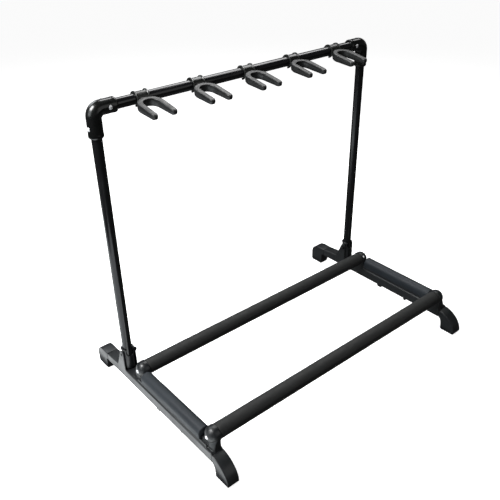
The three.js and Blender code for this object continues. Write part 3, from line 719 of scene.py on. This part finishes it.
def arm_body(with_set_screw):
    """A right-hand arm, before it is mirrored for the left."""
    bar = prism("arm", bar_outline(), ARM_INNER * MM, ARM_OUTER * MM, bevel=1.5 * MM)
    parts = [block("plinth", (ARM_INNER + 2.8, TUBE_AXES["front"].y, ARM_TOP - 1),
                   (ARM_OUTER - 2.8, TUBE_AXES["rear"].y, ARM_TOP + 6)),
             block("rail", (ARM_MIDDLE - 6.5, TUBE_AXES["front"].y, ARM_TOP),
                   (ARM_MIDDLE + 6.5, TUBE_AXES["rear"].y, ARM_TOP + 12.3)),
             block("housing", (EAR_INNER, PIVOT.y - 10.3, ARM_BOTTOM + 7.7),
                   (ARM_INNER + 3, PIVOT.y + 24.7, ARM_TOP))]
    for low in (EAR_INNER, ARM_OUTER - EAR_WALL):
        parts.append(prism("ear", ear_outline(), low * MM, (low + EAR_WALL) * MM))
    for end in ENDS:
        y = TUBE_AXES[end].y
        parts.append(lathe("boss", boss_profile(y), Vector((ARM_INNER, y, BASE_Z)) * MM, X))
        parts.append(pedestal(y, 5 if end == "rear" else 2))
    arm = carve(bar, parts, "UNION")

    cells, end_wall, rib = 8, 8.0, 2.4
    pitch = 2 * (ARM_END - end_wall) / cells
    size = (ARM_OUTER - ARM_INNER - 6, pitch - rib, 16.4)
    first = (ARM_MIDDLE, -ARM_END + end_wall + pitch / 2, ARM_BOTTOM + 7.2)
    tools = [row(size, pitch, cells, first, MOULDING)]
    for end in ENDS:
        y = TUBE_AXES[end].y
        tools += [rod("bore", 10.7, (ARM_INNER - 1, y, BASE_Z), X, BOSS_BORE + 1.3),
                  rod("seat", 4.9, (ARM_INNER + SCREW_SEAT, y, BASE_Z), X, 8),
                  rod("hole", 2.3, (ARM_INNER + BOSS_BORE - 1, y, BASE_Z), X, 12)]
    tools.append(rod("pivot", 3.3, (EAR_INNER - 1, PIVOT.y, PIVOT.z), X, 40))
    if with_set_screw:
        axis, face = set_screw_place()
        tools += [rod("set seat", 3.5, face - axis * 4, axis, 6.4), rod("set hole", 1.8, face, axis, 9)]
    return carve(arm, tools)


def set_screw_place():
    """The set screw's direction and the centre of its head, on the upper front of the rear boss."""
    axis = Vector((0, math.cos(SET_SCREW_TILT), -math.sin(SET_SCREW_TILT)))
    return axis, Vector((SET_SCREW_X, TUBE_AXES["rear"].y, BASE_Z)) - axis * (BOSS + 0.2)


# %% Both arms
ARM_VOXEL, ARM_FACES, ARM_EASE = 0.7, 150000, 8


def side_arm(side, body):
    arm = fused(body, ARM_VOXEL, ARM_FACES, ARM_EASE)
    if side == "left":
        bare, arm = arm, mirrored(arm, "side_arm_left_skin")
        bpy.data.objects.remove(bare)
    arm.name = f"side_arm_{side}_skin"
    return dress(arm, MOULDING, "moulding", "base", f"side_arm_{side}", reach=1.2)


for side in SIDES:
    side_arm(side, arm_body(with_set_screw=side == "right"))

# %% [markdown]
# ## Feet and soles
#
# A foot is a curved hook that drops from the arm to the floor. Its side is flat, so an extruded outline
# with rounded edges is all it needs. The thin seam where it meets the arm is left open. Under each foot
# lies a ribbed rubber sole, whose grooves are the same row of blocks at another size.

# %% Feet
def front_foot_outline(low, high):
    heel, seam, toe = -212.5, high.y, low.y
    top, floor = high.z, low.z
    arch = curve([(heel, floor), (heel, 20), (heel + 2.5, ARM_BOTTOM - 1), (seam, ARM_BOTTOM)], 14)
    back = curve([(seam, top), (-226, top - 3), (toe + 3, 33), (toe, floor + 4)], 20)
    return flat(arch + back + [(toe + 0.4, floor)])


def rear_foot_outline(low, high):
    seam, heel, face = low.y, high.y, 212.5
    crown = curve([(heel, 24), (heel + 0.5, 48), (229, high.z)], 14)
    return flat([(seam, ARM_BOTTOM), (face - 1, ARM_BOTTOM), (face, low.z), (heel - 1, low.z)] + crown
                + [(seam, high.z)])


for side in SIDES:
    for end, outline in (("front", front_foot_outline), ("rear", rear_foot_outline)):
        node = f"{end}_foot_{side}"
        low, high = (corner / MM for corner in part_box(node))
        made = prism(node + "_skin", outline(low, high), low.x * MM, high.x * MM, bevel=1.7 * MM, segments=4)
        dress(creases(made, 60), MOULDING, "moulding", "base", node, reach=1.0)

# %% Soles
GROOVES = 4
for side in SIDES:
    for end in ENDS:
        node = f"{end}_sole_{side}"
        low, high = (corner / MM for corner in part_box(node))
        slab = block("slab", low, high)
        pitch = (high.y - low.y) / (GROOVES + 1)
        cutters = row((60, 2, 1.8), pitch, GROOVES, ((low.x + high.x) / 2, low.y + pitch, low.z), SOLE_RUBBER)
        made = rounded(carve(slab, [cutters]), 0.35 * MM, 2)
        made.name = node + "_skin"
        dress(creases(made, 50), SOLE_RUBBER, "sole_rubber", "base", node, reach=0.5)

# %% [markdown]
# ## Arm pads
#
# The pad on each arm is an extruded rubber strip with a round top, where the edge of a guitar rests. It
# straddles a rail on the arm. Its outline is an arc with a slot below, extruded along the arm, and its
# cut ends are soft. Two push-in clips hold it from below.

# %% Pads and their clips
def pad_outline(low, high):
    """The pad's section as frame points at y = 0."""
    radius, middle = (high.x - low.x) / 2, (high.x + low.x) / 2
    top = high.z - radius
    slot, slot_top = 6.8, low.z + 6.3
    round_top = [(middle + radius * math.cos(a), top + radius * math.sin(a))
                 for a in (math.pi * i / 40 for i in range(41))]
    points = round_top + [(low.x, low.z + 1.6), (low.x + 0.8, low.z), (middle - slot, low.z),
                          (middle - slot, slot_top), (middle + slot, slot_top), (middle + slot, low.z),
                          (high.x - 0.8, low.z), (high.x, low.z + 1.6)]
    return [Vector((x, 0, z)) * MM for x, z in points]


PAD_SWELL = 0.25  # millimetres that the long top may sink, unevenly


def arm_pad(side):
    node = "arm_pad_" + side
    low, high = (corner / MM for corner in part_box(node))
    made = prism(node + "_soft", pad_outline(low, high), low.y * MM, high.y * MM, Y, bevel=1.3 * MM,
                 segments=4)
    bm = bmesh.new()
    bm.from_mesh(made.data)
    for i in range(1, 42):
        plane = Vector((0, (low.y + (high.y - low.y) * i / 42) * MM, 0))
        bmesh.ops.bisect_plane(bm, geom=bm.verts[:] + bm.edges[:] + bm.faces[:], plane_co=plane,
                               plane_no=Y, dist=1e-6)
    for vertex in bm.verts:
        share = max(0.0, (vertex.co.z / MM - low.z - 8) / (high.z - low.z - 8))
        sink = 0.5 - 0.5 * noise.noise(Vector((vertex.co.x * 60, vertex.co.y * 22, len(side))))
        vertex.co.z -= PAD_SWELL * MM * sink * min(1.0, share)
    bm.to_mesh(made.data)
    bm.free()
    dress(creases(made, 50), ARM_RUBBER, "arm_pad", BODY_OF[node], node, reach=0.5)
    return made


def pad_clip(end, side):
    node = f"pad_clip_{end}_{side}"
    low, high = (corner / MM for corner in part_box(node))
    foot_top = ARM_BOTTOM - 0.3
    foot = prism("foot", flat([(low.y, foot_top), (low.y + 1.6, low.z), (high.y - 1.6, low.z),
                               (high.y, foot_top)]), low.x * MM, high.x * MM, bevel=0.6 * MM)
    middle, centre, half = (low.x + high.x) / 2, (low.y + high.y) / 2, 2.4
    shank = block("shank", (middle - half, centre - half, foot_top - 1),
                  (middle + half, centre + half, high.z))
    made = carve(foot, [shank], "UNION")
    made.name = node + "_skin"
    dress(creases(made, 40), CLIP_PLASTIC, "clip_plastic", BODY_OF[node], node)


for side in SIDES:
    arm_pad(side)
    for end in ENDS:
        pad_clip(end, side)

# %% [markdown]
# ## Fold knuckles
#
# The uprights end in a moulded cup that turns between the ears. Its mouth flares like a collar and dips
# at the front, so the tube shows lower down there. A turned cup, cut by the bore and the dip, is melted
# in the same way as the arms, which rounds the thin lip.

# %% Knuckles
KNUCKLE, FLARE, NOTCH_HALF = 12.9, 15.0, 8.6


def knuckle_body(low, high):
    foot = Vector((UPRIGHT.x, PIVOT.y, 0))
    rim, waist = high.z, PIVOT.z + 10.6
    lip = curve([(KNUCKLE, waist - 3), (KNUCKLE + 0.2, waist + 1), (FLARE - 0.6, rim - 2.2),
                 (FLARE, rim - 0.8)], 8)
    dip, bore = 91.2, 10.7
    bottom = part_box("upright_tube_right")[0].z / MM - 0.3
    cup = lathe("cup", [(0, low.z), (KNUCKLE - 1, low.z), (KNUCKLE, low.z + 1)] + lip
                + [(FLARE - 0.5, rim), (bore, rim), (bore, bottom), (0, bottom)], foot * MM, Z, 96)
    tools = [rod("mouth", NOTCH_HALF, foot + Vector((0, -20, dip + NOTCH_HALF)), Y, 20),
             block("slot", foot + Vector((-NOTCH_HALF, -20, dip + NOTCH_HALF)),
                   foot + Vector((NOTCH_HALF, 0, rim + 2))),
             rod("bolt", 3.3, foot + Vector((-20, 0, PIVOT.z)), X, 40),
             heel_waste(low)]
    return carve(cup, tools)


def heel_waste(low):
    """What is cut from the front lower corner, so that it clears the arm as the upright folds."""
    reach = PIVOT.z - low.z
    start = math.degrees(math.asin(KNUCKLE / reach)) + 3
    sweep = arc((PIVOT.y, PIVOT.z), reach, -90, -90 - start, 10)
    return prism("waste", flat([(PIVOT.y, low.z - 4)] + sweep + [(PIVOT.y - 22, low.z - 4)]),
                 (UPRIGHT.x - 16) * MM, (UPRIGHT.x + 16) * MM)


for side in SIDES:
    node = "hinge_knuckle_" + side
    low, high = (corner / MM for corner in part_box(node))
    made = fused(knuckle_body(low, high), 0.5, 30000, smoothing=2)
    if side == "left":
        bare, made = made, mirrored(made, node)
        bpy.data.objects.remove(bare)
    made.name = node + "_skin"
    dress(made, MOULDING, "moulding", BODY_OF[node], node, reach=1.2)

# %% [markdown]
# ## Corner elbows
#
# An elbow is a pipe bend with a lip at each mouth. Rings of points run along its centreline, and their
# radius follows the lip and its chamfer. The inside is left as two sockets, and each screw sits in a
# shallow round seat that a boolean cut makes.

# %% Elbows
ELBOW, BEND_R, BEND_BULGE = 14.5, 17.0, 0.8
SOCKET = 25.3
DOT_X = 340
CORNER = Vector((UPRIGHT.x, PIVOT.y, (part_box("top_tube")[0].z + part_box("top_tube")[1].z) / 2 / MM))


def elbow_radius(from_mouth):
    """The outer radius at a distance from the mouth: a chamfer, a lip, then the body."""
    knots = ((0, -2.0), (0.5, -1.4), (2.4, 0.0), (3.0, 0.25), (3.8, 0.3), (6.6, 0.3), (7.4, 0.2), (8.4, 0.0),
             (99, 0.0))
    for (a, ra), (b, rb) in zip(knots, knots[1:]):
        if from_mouth <= b:
            return ELBOW + ra + (rb - ra) * (from_mouth - a) / (b - a)
    return ELBOW


def elbow_line(leg_x, leg_z):
    """(point, direction, distance from the mouth, share of the bend) from the level mouth to the lower."""
    level = [0, 0.5, 1.5, 2.4, 3.0, 3.8, 5.2, 6.6, 7.4, 8.4, 10, 14, 18, 22, leg_x - BEND_R - 0.6]
    line = [(CORNER - X * (leg_x - d), X, d, 0.0) for d in level]
    centre = CORNER - X * BEND_R - Z * BEND_R
    for i in range(17):
        angle = math.radians(90 - 90 * i / 16)
        place = centre + X * (BEND_R * math.cos(angle)) + Z * (BEND_R * math.sin(angle))
        line.append((place, X * math.sin(angle) - Z * math.cos(angle), 50.0, math.sin(2 * angle)))
    upright = level[:-1] + [leg_z - BEND_R - 0.6]
    return line + [(CORNER - Z * (leg_z - d), -Z, d, 0.0) for d in reversed(upright)]


def elbow_body(leg_x, leg_z):
    rings = []
    for place, heading, from_mouth, bend in elbow_line(leg_x, leg_z):
        side = Y.cross(heading)
        radius = elbow_radius(from_mouth) + BEND_BULGE * bend
        rings.append([(place + (math.cos(a) * Y + math.sin(a) * side) * radius) * MM
                      for a in (2 * math.pi * i / 72 for i in range(72))])
    body = loft("elbow", rings)
    top = Vector((DOT_X, PIVOT.y, CORNER.z + ELBOW - 0.4))
    dot = lathe("dot", [(0, 0), (2.7, 0), (2.6, 0.7), (2.2, 1.1), (1.5, 1.3), (0, 1.4)], top * MM, Z, 32)
    carve(body, [dot], "UNION")
    tools = [rod("socket", 10.7, CORNER - X * (leg_x + 1), X, SOCKET + 1, 72),
             rod("socket", 10.7, CORNER - Z * (leg_z + 1), Z, SOCKET + 1, 72)]
    for place, axis in elbow_screws():
        tools += [rod("seat", 5.0, place - axis * 6, axis, 8.8), rod("hole", 2.3, place, axis, 8)]
    return carve(body, tools)


def elbow_screws():
    """The front screw of the level leg and the side screw of the upright leg: head centre and axis."""
    front = (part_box("elbow_screw_front_right")[0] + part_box("elbow_screw_front_right")[1]) / 2 / MM
    side = (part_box("elbow_screw_side_right")[0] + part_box("elbow_screw_side_right")[1]) / 2 / MM
    return [(Vector((front.x, PIVOT.y - ELBOW - 0.6, front.z)), Y),
            (Vector((UPRIGHT.x + ELBOW + 0.6, side.y, side.z)), -X)]


for side in SIDES:
    node = "corner_elbow_" + side
    low, high = (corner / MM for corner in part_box("corner_elbow_right"))
    made = elbow_body(UPRIGHT.x - low.x, CORNER.z - low.z)
    rounded(made, 0.35 * MM, 2, angle=50)
    if side == "left":
        bare, made = made, mirrored(made, node)
        bpy.data.objects.remove(bare)
    made.name = node + "_skin"
    dress(creases(made, 35), ELBOW_PLASTIC, "elbow_plastic", BODY_OF[node], node, reach=0.5)

# %% [markdown]
# ## Screws
#
# The screws all have one shape at slightly different sizes: a low domed head with a cross recess. One
# screw is modelled, and a Geometry Nodes tree sets a copy of it on each point of a small point mesh,
# turned to the point's own axis. Each body gets one mesh of screws.

# %% One screw
def screw_model():
    """A screw of head radius 1, pointing along +Z into the work, with its face at the origin."""
    profile = [(0, 0), (0.35, 0.03), (0.6, 0.10), (0.82, 0.22), (0.96, 0.38), (1, 0.5), (0.97, 0.56),
               (0.42, 0.56), (0.42, 0.76), (0.34, 0.88), (0, 0.88)]
    scale = 1 / MM  # the helpers take millimetres, and this model has a head radius of one metre
    body = lathe("screw", [(r * scale, h * scale) for r, h in profile], Vector(), Z, 40)
    arm, half, top, bottom = 0.46 * scale, 0.09 * scale, -0.4 * scale, 0.3 * scale
    cross = block("cross", (-arm, -half, top), (arm, half, bottom))
    other = block("cross", (-half, -arm, top), (half, arm, bottom))
    return creases(carve(body, [cross, other]), 30)


def screw_tree():
    tree = bpy.data.node_groups.new("screws", "GeometryNodeTree")
    socket(tree, "Geometry", "Geometry", "INPUT")
    for name, kind in (("Screw", "Object"), ("Head", "Float"), ("Finish", "Material")):
        socket(tree, name, kind, "INPUT")
    socket(tree, "Geometry", "Geometry", "OUTPUT")
    entry = tree.nodes.new("NodeGroupInput").outputs
    source = chain(tree, "GeometryNodeObjectInfo", {"Object": entry["Screw"]})
    axis = chain(tree, "GeometryNodeInputNamedAttribute", {"Name": "axis"}, data_type="FLOAT_VECTOR")
    size = chain(tree, "GeometryNodeInputNamedAttribute", {"Name": "size"}, data_type="FLOAT")
    turn = chain(tree, "FunctionNodeAlignRotationToVector", {"Vector": axis.outputs["Attribute"]}, axis="Z")
    scale = chain(tree, "ShaderNodeMath", {0: size.outputs["Attribute"], 1: entry["Head"]},
                  operation="MULTIPLY")
    copies = chain(tree, "GeometryNodeInstanceOnPoints", {
        "Points": entry["Geometry"], "Instance": source.outputs["Geometry"],
        "Rotation": turn.outputs["Rotation"], "Scale": scale.outputs["Value"]})
    real = chain(tree, "GeometryNodeRealizeInstances", {"Geometry": copies.outputs["Instances"]})
    painted = chain(tree, "GeometryNodeSetMaterial", {"Geometry": real.outputs["Geometry"],
                                                      "Material": entry["Finish"]})
    leave = tree.nodes.new("NodeGroupOutput").inputs
    tree.links.new(painted.outputs["Geometry"], leave["Geometry"])
    return tree


SCREW, SCREW_TREE = screw_model(), screw_tree()


def screws(name, places, body, nodes):
    """places are (head centre in millimetres, axis, head radius in millimetres)."""
    mesh = bpy.data.meshes.new(name)
    mesh.from_pydata([tuple(place * MM) for place, _, _ in places], [], [])
    axis = mesh.attributes.new("axis", "FLOAT_VECTOR", "POINT")
    axis.data.foreach_set("vector", [c for _, direction, _ in places for c in direction])
    mesh.attributes.new("size", "FLOAT", "POINT").data.foreach_set("value", [r for _, _, r in places])
    made = grown(name, SCREW_TREE, {"Screw": SCREW, "Head": MM, "Finish": CHROME}, named(name, mesh))
    dress(creases(made, 30), CHROME, "chrome", body, *nodes, reach=0.2)


# %% Screws of the base and of the upright frame
base_places, base_nodes, frame_places, frame_nodes = [], [], [], []
for side, sign in SIDES.items():
    for end in ENDS:
        face = Vector((sign * (ARM_INNER + SCREW_SEAT + 2.7), TUBE_AXES[end].y, BASE_Z))
        base_places.append((face, -sign * X, 4.4))
        base_nodes.append(f"boss_screw_{end}_{side}")
    for (place, axis), where in zip(elbow_screws(), ("front", "side")):
        frame_places.append((Vector((sign * place.x, place.y, place.z)),
                             Vector((sign * axis.x, axis.y, axis.z)), 4.6))
        frame_nodes.append(f"elbow_screw_{where}_{side}")
axis, face = set_screw_place()
base_places.append((face, axis, 3.0))
base_nodes.append("set_screw_rear_right")
screws("base_screws", base_places, "base", base_nodes)
screws("frame_screws", frame_places, BODY_OF["top_tube"], frame_nodes)
bpy.data.objects.remove(SCREW)

# %% [markdown]
# ## Neck clips
#
# Each clip is a short saddle that wraps three quarters of the top tube, open below and behind, with a
# raised rim at each end. A short neck carries the fork's stiff core. The saddle is turned from its own
# section, and the rims come from the same profile, so their corners stay true.

# %% Neck clips
TUBE_AXIS = Vector((0, CORNER.y, CORNER.z))
CLIP_R, CLIP_RIM, CLIP_BORE, CLIP_LENGTH = 12.9, 15.0, 10.7, 28.0
RIM_WIDTH = 2.2
MOUTH, MOUTH_HALF = -60, 40  # degrees: the middle of the open mouth, and half its width


def clip_saddle(name, x):
    """The saddle's section along the tube, turned through all but the mouth."""
    half, edge = CLIP_LENGTH / 2, 0.45
    outer = [(-half, CLIP_RIM - edge), (-half + edge, CLIP_RIM), (-half + RIM_WIDTH - edge, CLIP_RIM),
             (-half + RIM_WIDTH, CLIP_RIM - edge), (-half + RIM_WIDTH, CLIP_R + 0.6),
             (-half + RIM_WIDTH + 0.6, CLIP_R)]
    outer += [(-along, radius) for along, radius in reversed(outer)]
    section = [(-half, CLIP_BORE + 0.3), (-half, CLIP_RIM - edge)] + outer[1:-1] + [
        (half, CLIP_RIM - edge), (half, CLIP_BORE + 0.3), (half - 0.3, CLIP_BORE), (-half + 0.3, CLIP_BORE)]
    facing = MOUTH - math.degrees(FORK_TILT)
    start, stop, steps = facing + MOUTH_HALF, facing + 360 - MOUTH_HALF, 72
    rings = []
    for i in range(steps + 1):
        angle = math.radians(start + (stop - start) * i / steps)
        way = Vector((0, math.cos(angle), math.sin(angle)))
        rings.append([(TUBE_AXIS + Vector((x + along, 0, 0)) + way * radius) * MM
                      for along, radius in section])
    return loft(name, rings)


FORK_TILT = math.radians(8.5)  # the prongs hang below the level


def frame_joint(name):
    """A joint's place, in metres."""
    return next(joint["pos_m"] for joint in frame["joints"] if joint["name"] == name)


def tilted(made):
    """Turns a piece that was made level about the tube's axis, so that its prongs hang."""
    about = Matrix.Translation(TUBE_AXIS * MM)
    made.data.transform(about @ Matrix.Rotation(FORK_TILT, 4, "X") @ about.inverted())
    return made


FORK_BACK, BEND_Y, AXIS_DROP = 12.5, -39.0, -1.5  # from the tube's axis
BEND_RADIUS = 21.0
CORE_HALF = 2.2
NECK_HALF = 8.0


def neck(x):
    """A tapering neck from the saddle to the middle of the fork."""
    rings = []
    for along, wide, tall, drop in ((-10.9, 9.2, 11.5, 0.0), (-11.8, 8.6, 10.0, -0.3),
                                    (-12.4, 8.1, 6.2, -1.2), (-18.2, 8.0, 5.6, AXIS_DROP)):
        ring = []
        for i in range(32):
            a = 2 * math.pi * i / 32
            cx, cz = (abs(f) ** 0.5 * (1 if f > 0 else -1) for f in (math.cos(a), math.sin(a)))
            ring.append((TUBE_AXIS + Vector((x + cx * wide, along, drop + cz * tall / 2 * 0.96))) * MM)
        rings.append(ring)
    return loft("neck", rings)


def neck_clip(index):
    node = f"neck_clip_{index}"
    x = frame_joint(f"fork_{index}_turn")[0] / MM
    saddle = carve(clip_saddle(node + "_skin", x), [neck(x)], "UNION")
    tilted(rounded(saddle, 0.3 * MM, 2, angle=50))
    return dress(creases(saddle, 40), CLIP_PLASTIC, "clip_plastic", BODY_OF[node], node, reach=0.5)


for index in range(1, 6):
    neck_clip(index)

# %% [markdown]
# ## Neck forks
#
# A fork is a soft rubber cover over a stiff U, which holds a guitar's neck. Its section is a tall
# rounded bar that grows lower towards the tips, with a flat top, a soft shoulder, and a ledge low on
# each side where the two halves of the mould met. It is a loft: one section, moved along the U.

# %% The fork's path and section
FORK_WIDTH, FORK_GAP, FORK_DEPTH = 11.0, 31.0, 87.0
REAR_HEIGHT, TIP_HEIGHT = 16.0, 11.0
PRONG_X = (FORK_GAP + FORK_WIDTH) / 2
TIP_Y = -FORK_DEPTH
TIP_RISE = 1.1  # how much higher a prong's middle lies at its tip, so that its top stays nearly level


def fork_path():
    """(x, y, heading) along the U from the left tip, in millimetres from the tube's axis."""
    straight = [TIP_Y, TIP_Y + 0.35, TIP_Y + 1.1, TIP_Y + 2.2, TIP_Y + 3.7, TIP_Y + 5.6, TIP_Y + 8]
    straight += [TIP_Y + 8 + (BEND_Y - TIP_Y - 8) * i / 14 for i in range(1, 15)]
    way = [(-PRONG_X, y, 90.0) for y in straight]
    for i in range(1, 40):
        turn = 180 - 180 * i / 40
        angle = math.radians(turn)
        way.append((PRONG_X * math.cos(angle), BEND_Y + BEND_RADIUS * math.sin(angle), turn - 90))
    return way + [(PRONG_X, y, -90.0) for y in reversed(straight)]


def tip_share(y):
    """How far a section has grown from the rounded tip: 0 at the end, 1 past it."""
    away = y - TIP_Y
    return 1.0 if away >= 8 else math.sqrt(max(0.0, 1 - ((8 - away) / 8) ** 2.4))


def fork_away(y):
    """0 round the back, 1 at a prong's tip."""
    return min(1.0, max(0.0, (BEND_Y - y) / (BEND_Y - TIP_Y)))


def fork_section(width, height):
    """(across, up) points: a flat top with soft shoulders, and a ledge on each side."""
    half, top, low = width / 2, height / 2, -height / 2
    shoulder = min(1.9, half * 0.55)
    ledge_z, ledge = low + height * 0.24, 0.55
    side = [(half - ledge, low + 1.2), (half - ledge, ledge_z - 0.5), (half, ledge_z), (half, top - shoulder)]
    round_top = [(half - shoulder + shoulder * math.cos(a), top - shoulder + shoulder * math.sin(a) * 0.96)
                 for a in (math.radians(90 * i / 6) for i in range(1, 7))]
    right = [(0, low), (half - ledge - 1.2, low)] + side + round_top
    return right + [(0, top)] + [(-a, z) for a, z in reversed(right[1:])]


FORK_SWELL = 0.18  # millimetres


def fork_skin(name, x):
    rings = []
    for px, py, heading in fork_path():
        turn = math.radians(heading)
        across = Vector((math.sin(turn), -math.cos(turn), 0))
        grown_by = tip_share(py)
        width = FORK_WIDTH * (0.40 + 0.60 * grown_by)
        away = fork_away(py)
        height = (REAR_HEIGHT + (TIP_HEIGHT - REAR_HEIGHT) * away) * (0.34 + 0.66 * grown_by)
        middle = TUBE_AXIS + Vector((x + px, py, AXIS_DROP + TIP_RISE * away))
        ring = []
        for a, z in fork_section(width, height):
            point = middle + across * a + Z * z
            uneven = 0.5 - 0.5 * noise.noise(Vector((point.x * 0.05, point.y * 0.05, point.z * 0.05)))
            point = middle + (across * a + Z * z) * (1 - FORK_SWELL * uneven / 10)
            ring.append(point * MM)
        rings.append(ring)
    return loft(name, rings)


def neck_fork(index):
    """A fork, with the space for its core left as a socket at the back."""
    node = f"neck_fork_{index}"
    x = frame_joint(f"fork_{index}_turn")[0] / MM
    made = fork_skin(node + "_soft", x)
    back = TUBE_AXIS + Vector((x, -FORK_BACK, AXIS_DROP))
    tools = [block("neck_room", back + Vector((-8.4, -6.2, -3.2)), back + Vector((8.4, 8, 3.2))),
             rod("saddle_room", CLIP_R + 0.3, TUBE_AXIS + X * (x - 40), X, 80)]
    for sign in (-1, 1):
        tools.append(rod("rim_room", CLIP_RIM + 0.3, TUBE_AXIS + X * (x + sign * (CLIP_LENGTH / 2 - 3.7)),
                         X * sign, 30))
    tilted(carve(made, tools))
    dress(creases(made, 60), FORK_RUBBER, "fork_pad", BODY_OF[node], node, reach=0.5)
    return made


for index in range(1, 6):
    neck_fork(index)

# %% [markdown]
# ## Hinge bolts and nuts
#
# The bolts and nuts of the fold are plain turned steel, and the CAD nodes already have that shape. They
# stay, with a finish of their own.

# %% Steel that stays as it is
for side in SIDES:
    for node in (f"hinge_bolt_{side}", f"hinge_nut_{side}"):
        kept = bpy.data.objects[node]
        kept.data.materials.clear()
        kept.data.materials.append(BLACK_STEEL)

# %% [markdown]
# ## Floor and light
#
# The rack is black, so it shows little but what it mirrors. The floor and the backdrop are white to the
# camera, and nearly dark to every other ray, so that they don't wash the black out. Soft lights stand
# where a chosen face mirrors them: high on the left for the elbows, behind for the forks' tops, and low
# on the floor for the outer side of the left arm.

# %% Floor
FLOOR_SEEN, FLOOR_MIRRORED = 0.93, 0.02  # how brightly the floor glows to the eye, and in reflections


def floor_finish():
    made = bpy.data.materials.new("floor")
    made.use_nodes = True
    tree = made.node_tree
    shader = tree.nodes["Principled BSDF"]
    to_eye = tree.nodes.new("ShaderNodeLightPath").outputs["Is Camera Ray"]
    glow = chain(tree, "ShaderNodeMix", {"Factor": to_eye, "A": FLOOR_MIRRORED, "B": FLOOR_SEEN})
    tone = mixed(tree, to_eye, (0.04, 0.04, 0.04, 1), (0.8, 0.8, 0.8, 1))
    tree.links.new(tone, shader.inputs["Base Color"])
    tree.links.new(glow.outputs["Result"], shader.inputs["Emission Strength"])
    shader.inputs["Emission Color"].default_value = (1, 1, 1, 1)
    shader.inputs["Roughness"].default_value = 1.0
    shader.inputs["Specular IOR Level"].default_value = 0.0
    return made


FLOOR_HALF = 6.0
floor = block("floor", (-FLOOR_HALF / MM, -FLOOR_HALF / MM, -20), (FLOOR_HALF / MM, FLOOR_HALF / MM, 0))
floor.data.materials.append(floor_finish())


# %% Lights
def area(name, place, target, size, power, colour=(1, 1, 1)):
    data = bpy.data.lights.new(name, "AREA")
    data.shape = "RECTANGLE"
    data.size, data.size_y = size
    data.energy = power
    data.color = colour
    made = bpy.data.objects.new(name, data)
    made.location = place
    made.rotation_euler = (Vector(target) - Vector(place)).to_track_quat("-Z", "Y").to_euler()
    made.visible_camera = False
    bpy.context.scene.collection.objects.link(made)


area("key", (-1.35, 0.29, 1.89), (-0.30, 0.12, 0.62), (0.8, 0.8), 62)
area("above", (0.97, 0.80, 1.99), (0.0, 0.09, 0.62), (1.5, 0.9), 26)
area("left wall", (-2.6, 0.2, 1.3), (0.0, 0.0, 0.1), (1.6, 1.2), 20, (0.92, 0.97, 1.0))
area("near card", (-0.43, 0.06, 0.002), (-0.43, 0.06, 1.0), (0.085, 0.75), 0.46, (0.95, 0.99, 1.0))
area("inner card", (0.29, 0.0, 0.002), (0.29, 0.0, 1.0), (0.10, 0.62), 0.035, (0.90, 0.97, 1.0))
area("back left", (-0.34, 1.33, 1.42), (0.34, 0.0, 0.1), (0.9, 0.7), 9, (0.92, 0.97, 1.0))
area("low card", (-0.74, 0.20, 0.002), (-0.74, 0.20, 1.0), (0.5, 1.5), 4, (0.90, 0.96, 1.0))
area("front", (0.7, -2.6, 1.3), (0, 0, 0.3), (2.0, 2.0), 8)


# %% The room
ROOM_LEVEL, ROOM_OVERHEAD = 0.10, 0.03


def room():
    """White to the camera, and a dim studio for everything else."""
    world = bpy.data.worlds.new("room")
    world.use_nodes = True
    tree = world.node_tree
    tree.nodes.clear()
    place = tree.nodes.new("ShaderNodeTexCoord").outputs["Generated"]
    height = chain(tree, "ShaderNodeSeparateXYZ", {"Vector": place}).outputs["Z"]
    level = ranged(tree, height, 0.02, 0.55, ROOM_LEVEL, ROOM_OVERHEAD)
    to_eye = tree.nodes.new("ShaderNodeLightPath").outputs["Is Camera Ray"]
    strength = chain(tree, "ShaderNodeMix", {"Factor": to_eye, "A": level, "B": 1.0})
    glow = chain(tree, "ShaderNodeBackground", {"Color": (1, 1, 1, 1),
                                                "Strength": strength.outputs["Result"]})
    end = tree.nodes.new("ShaderNodeOutputWorld")
    tree.links.new(glow.outputs["Background"], end.inputs["Surface"])
    bpy.context.scene.world = world


room()
bpy.context.scene.view_settings.view_transform = "Standard"
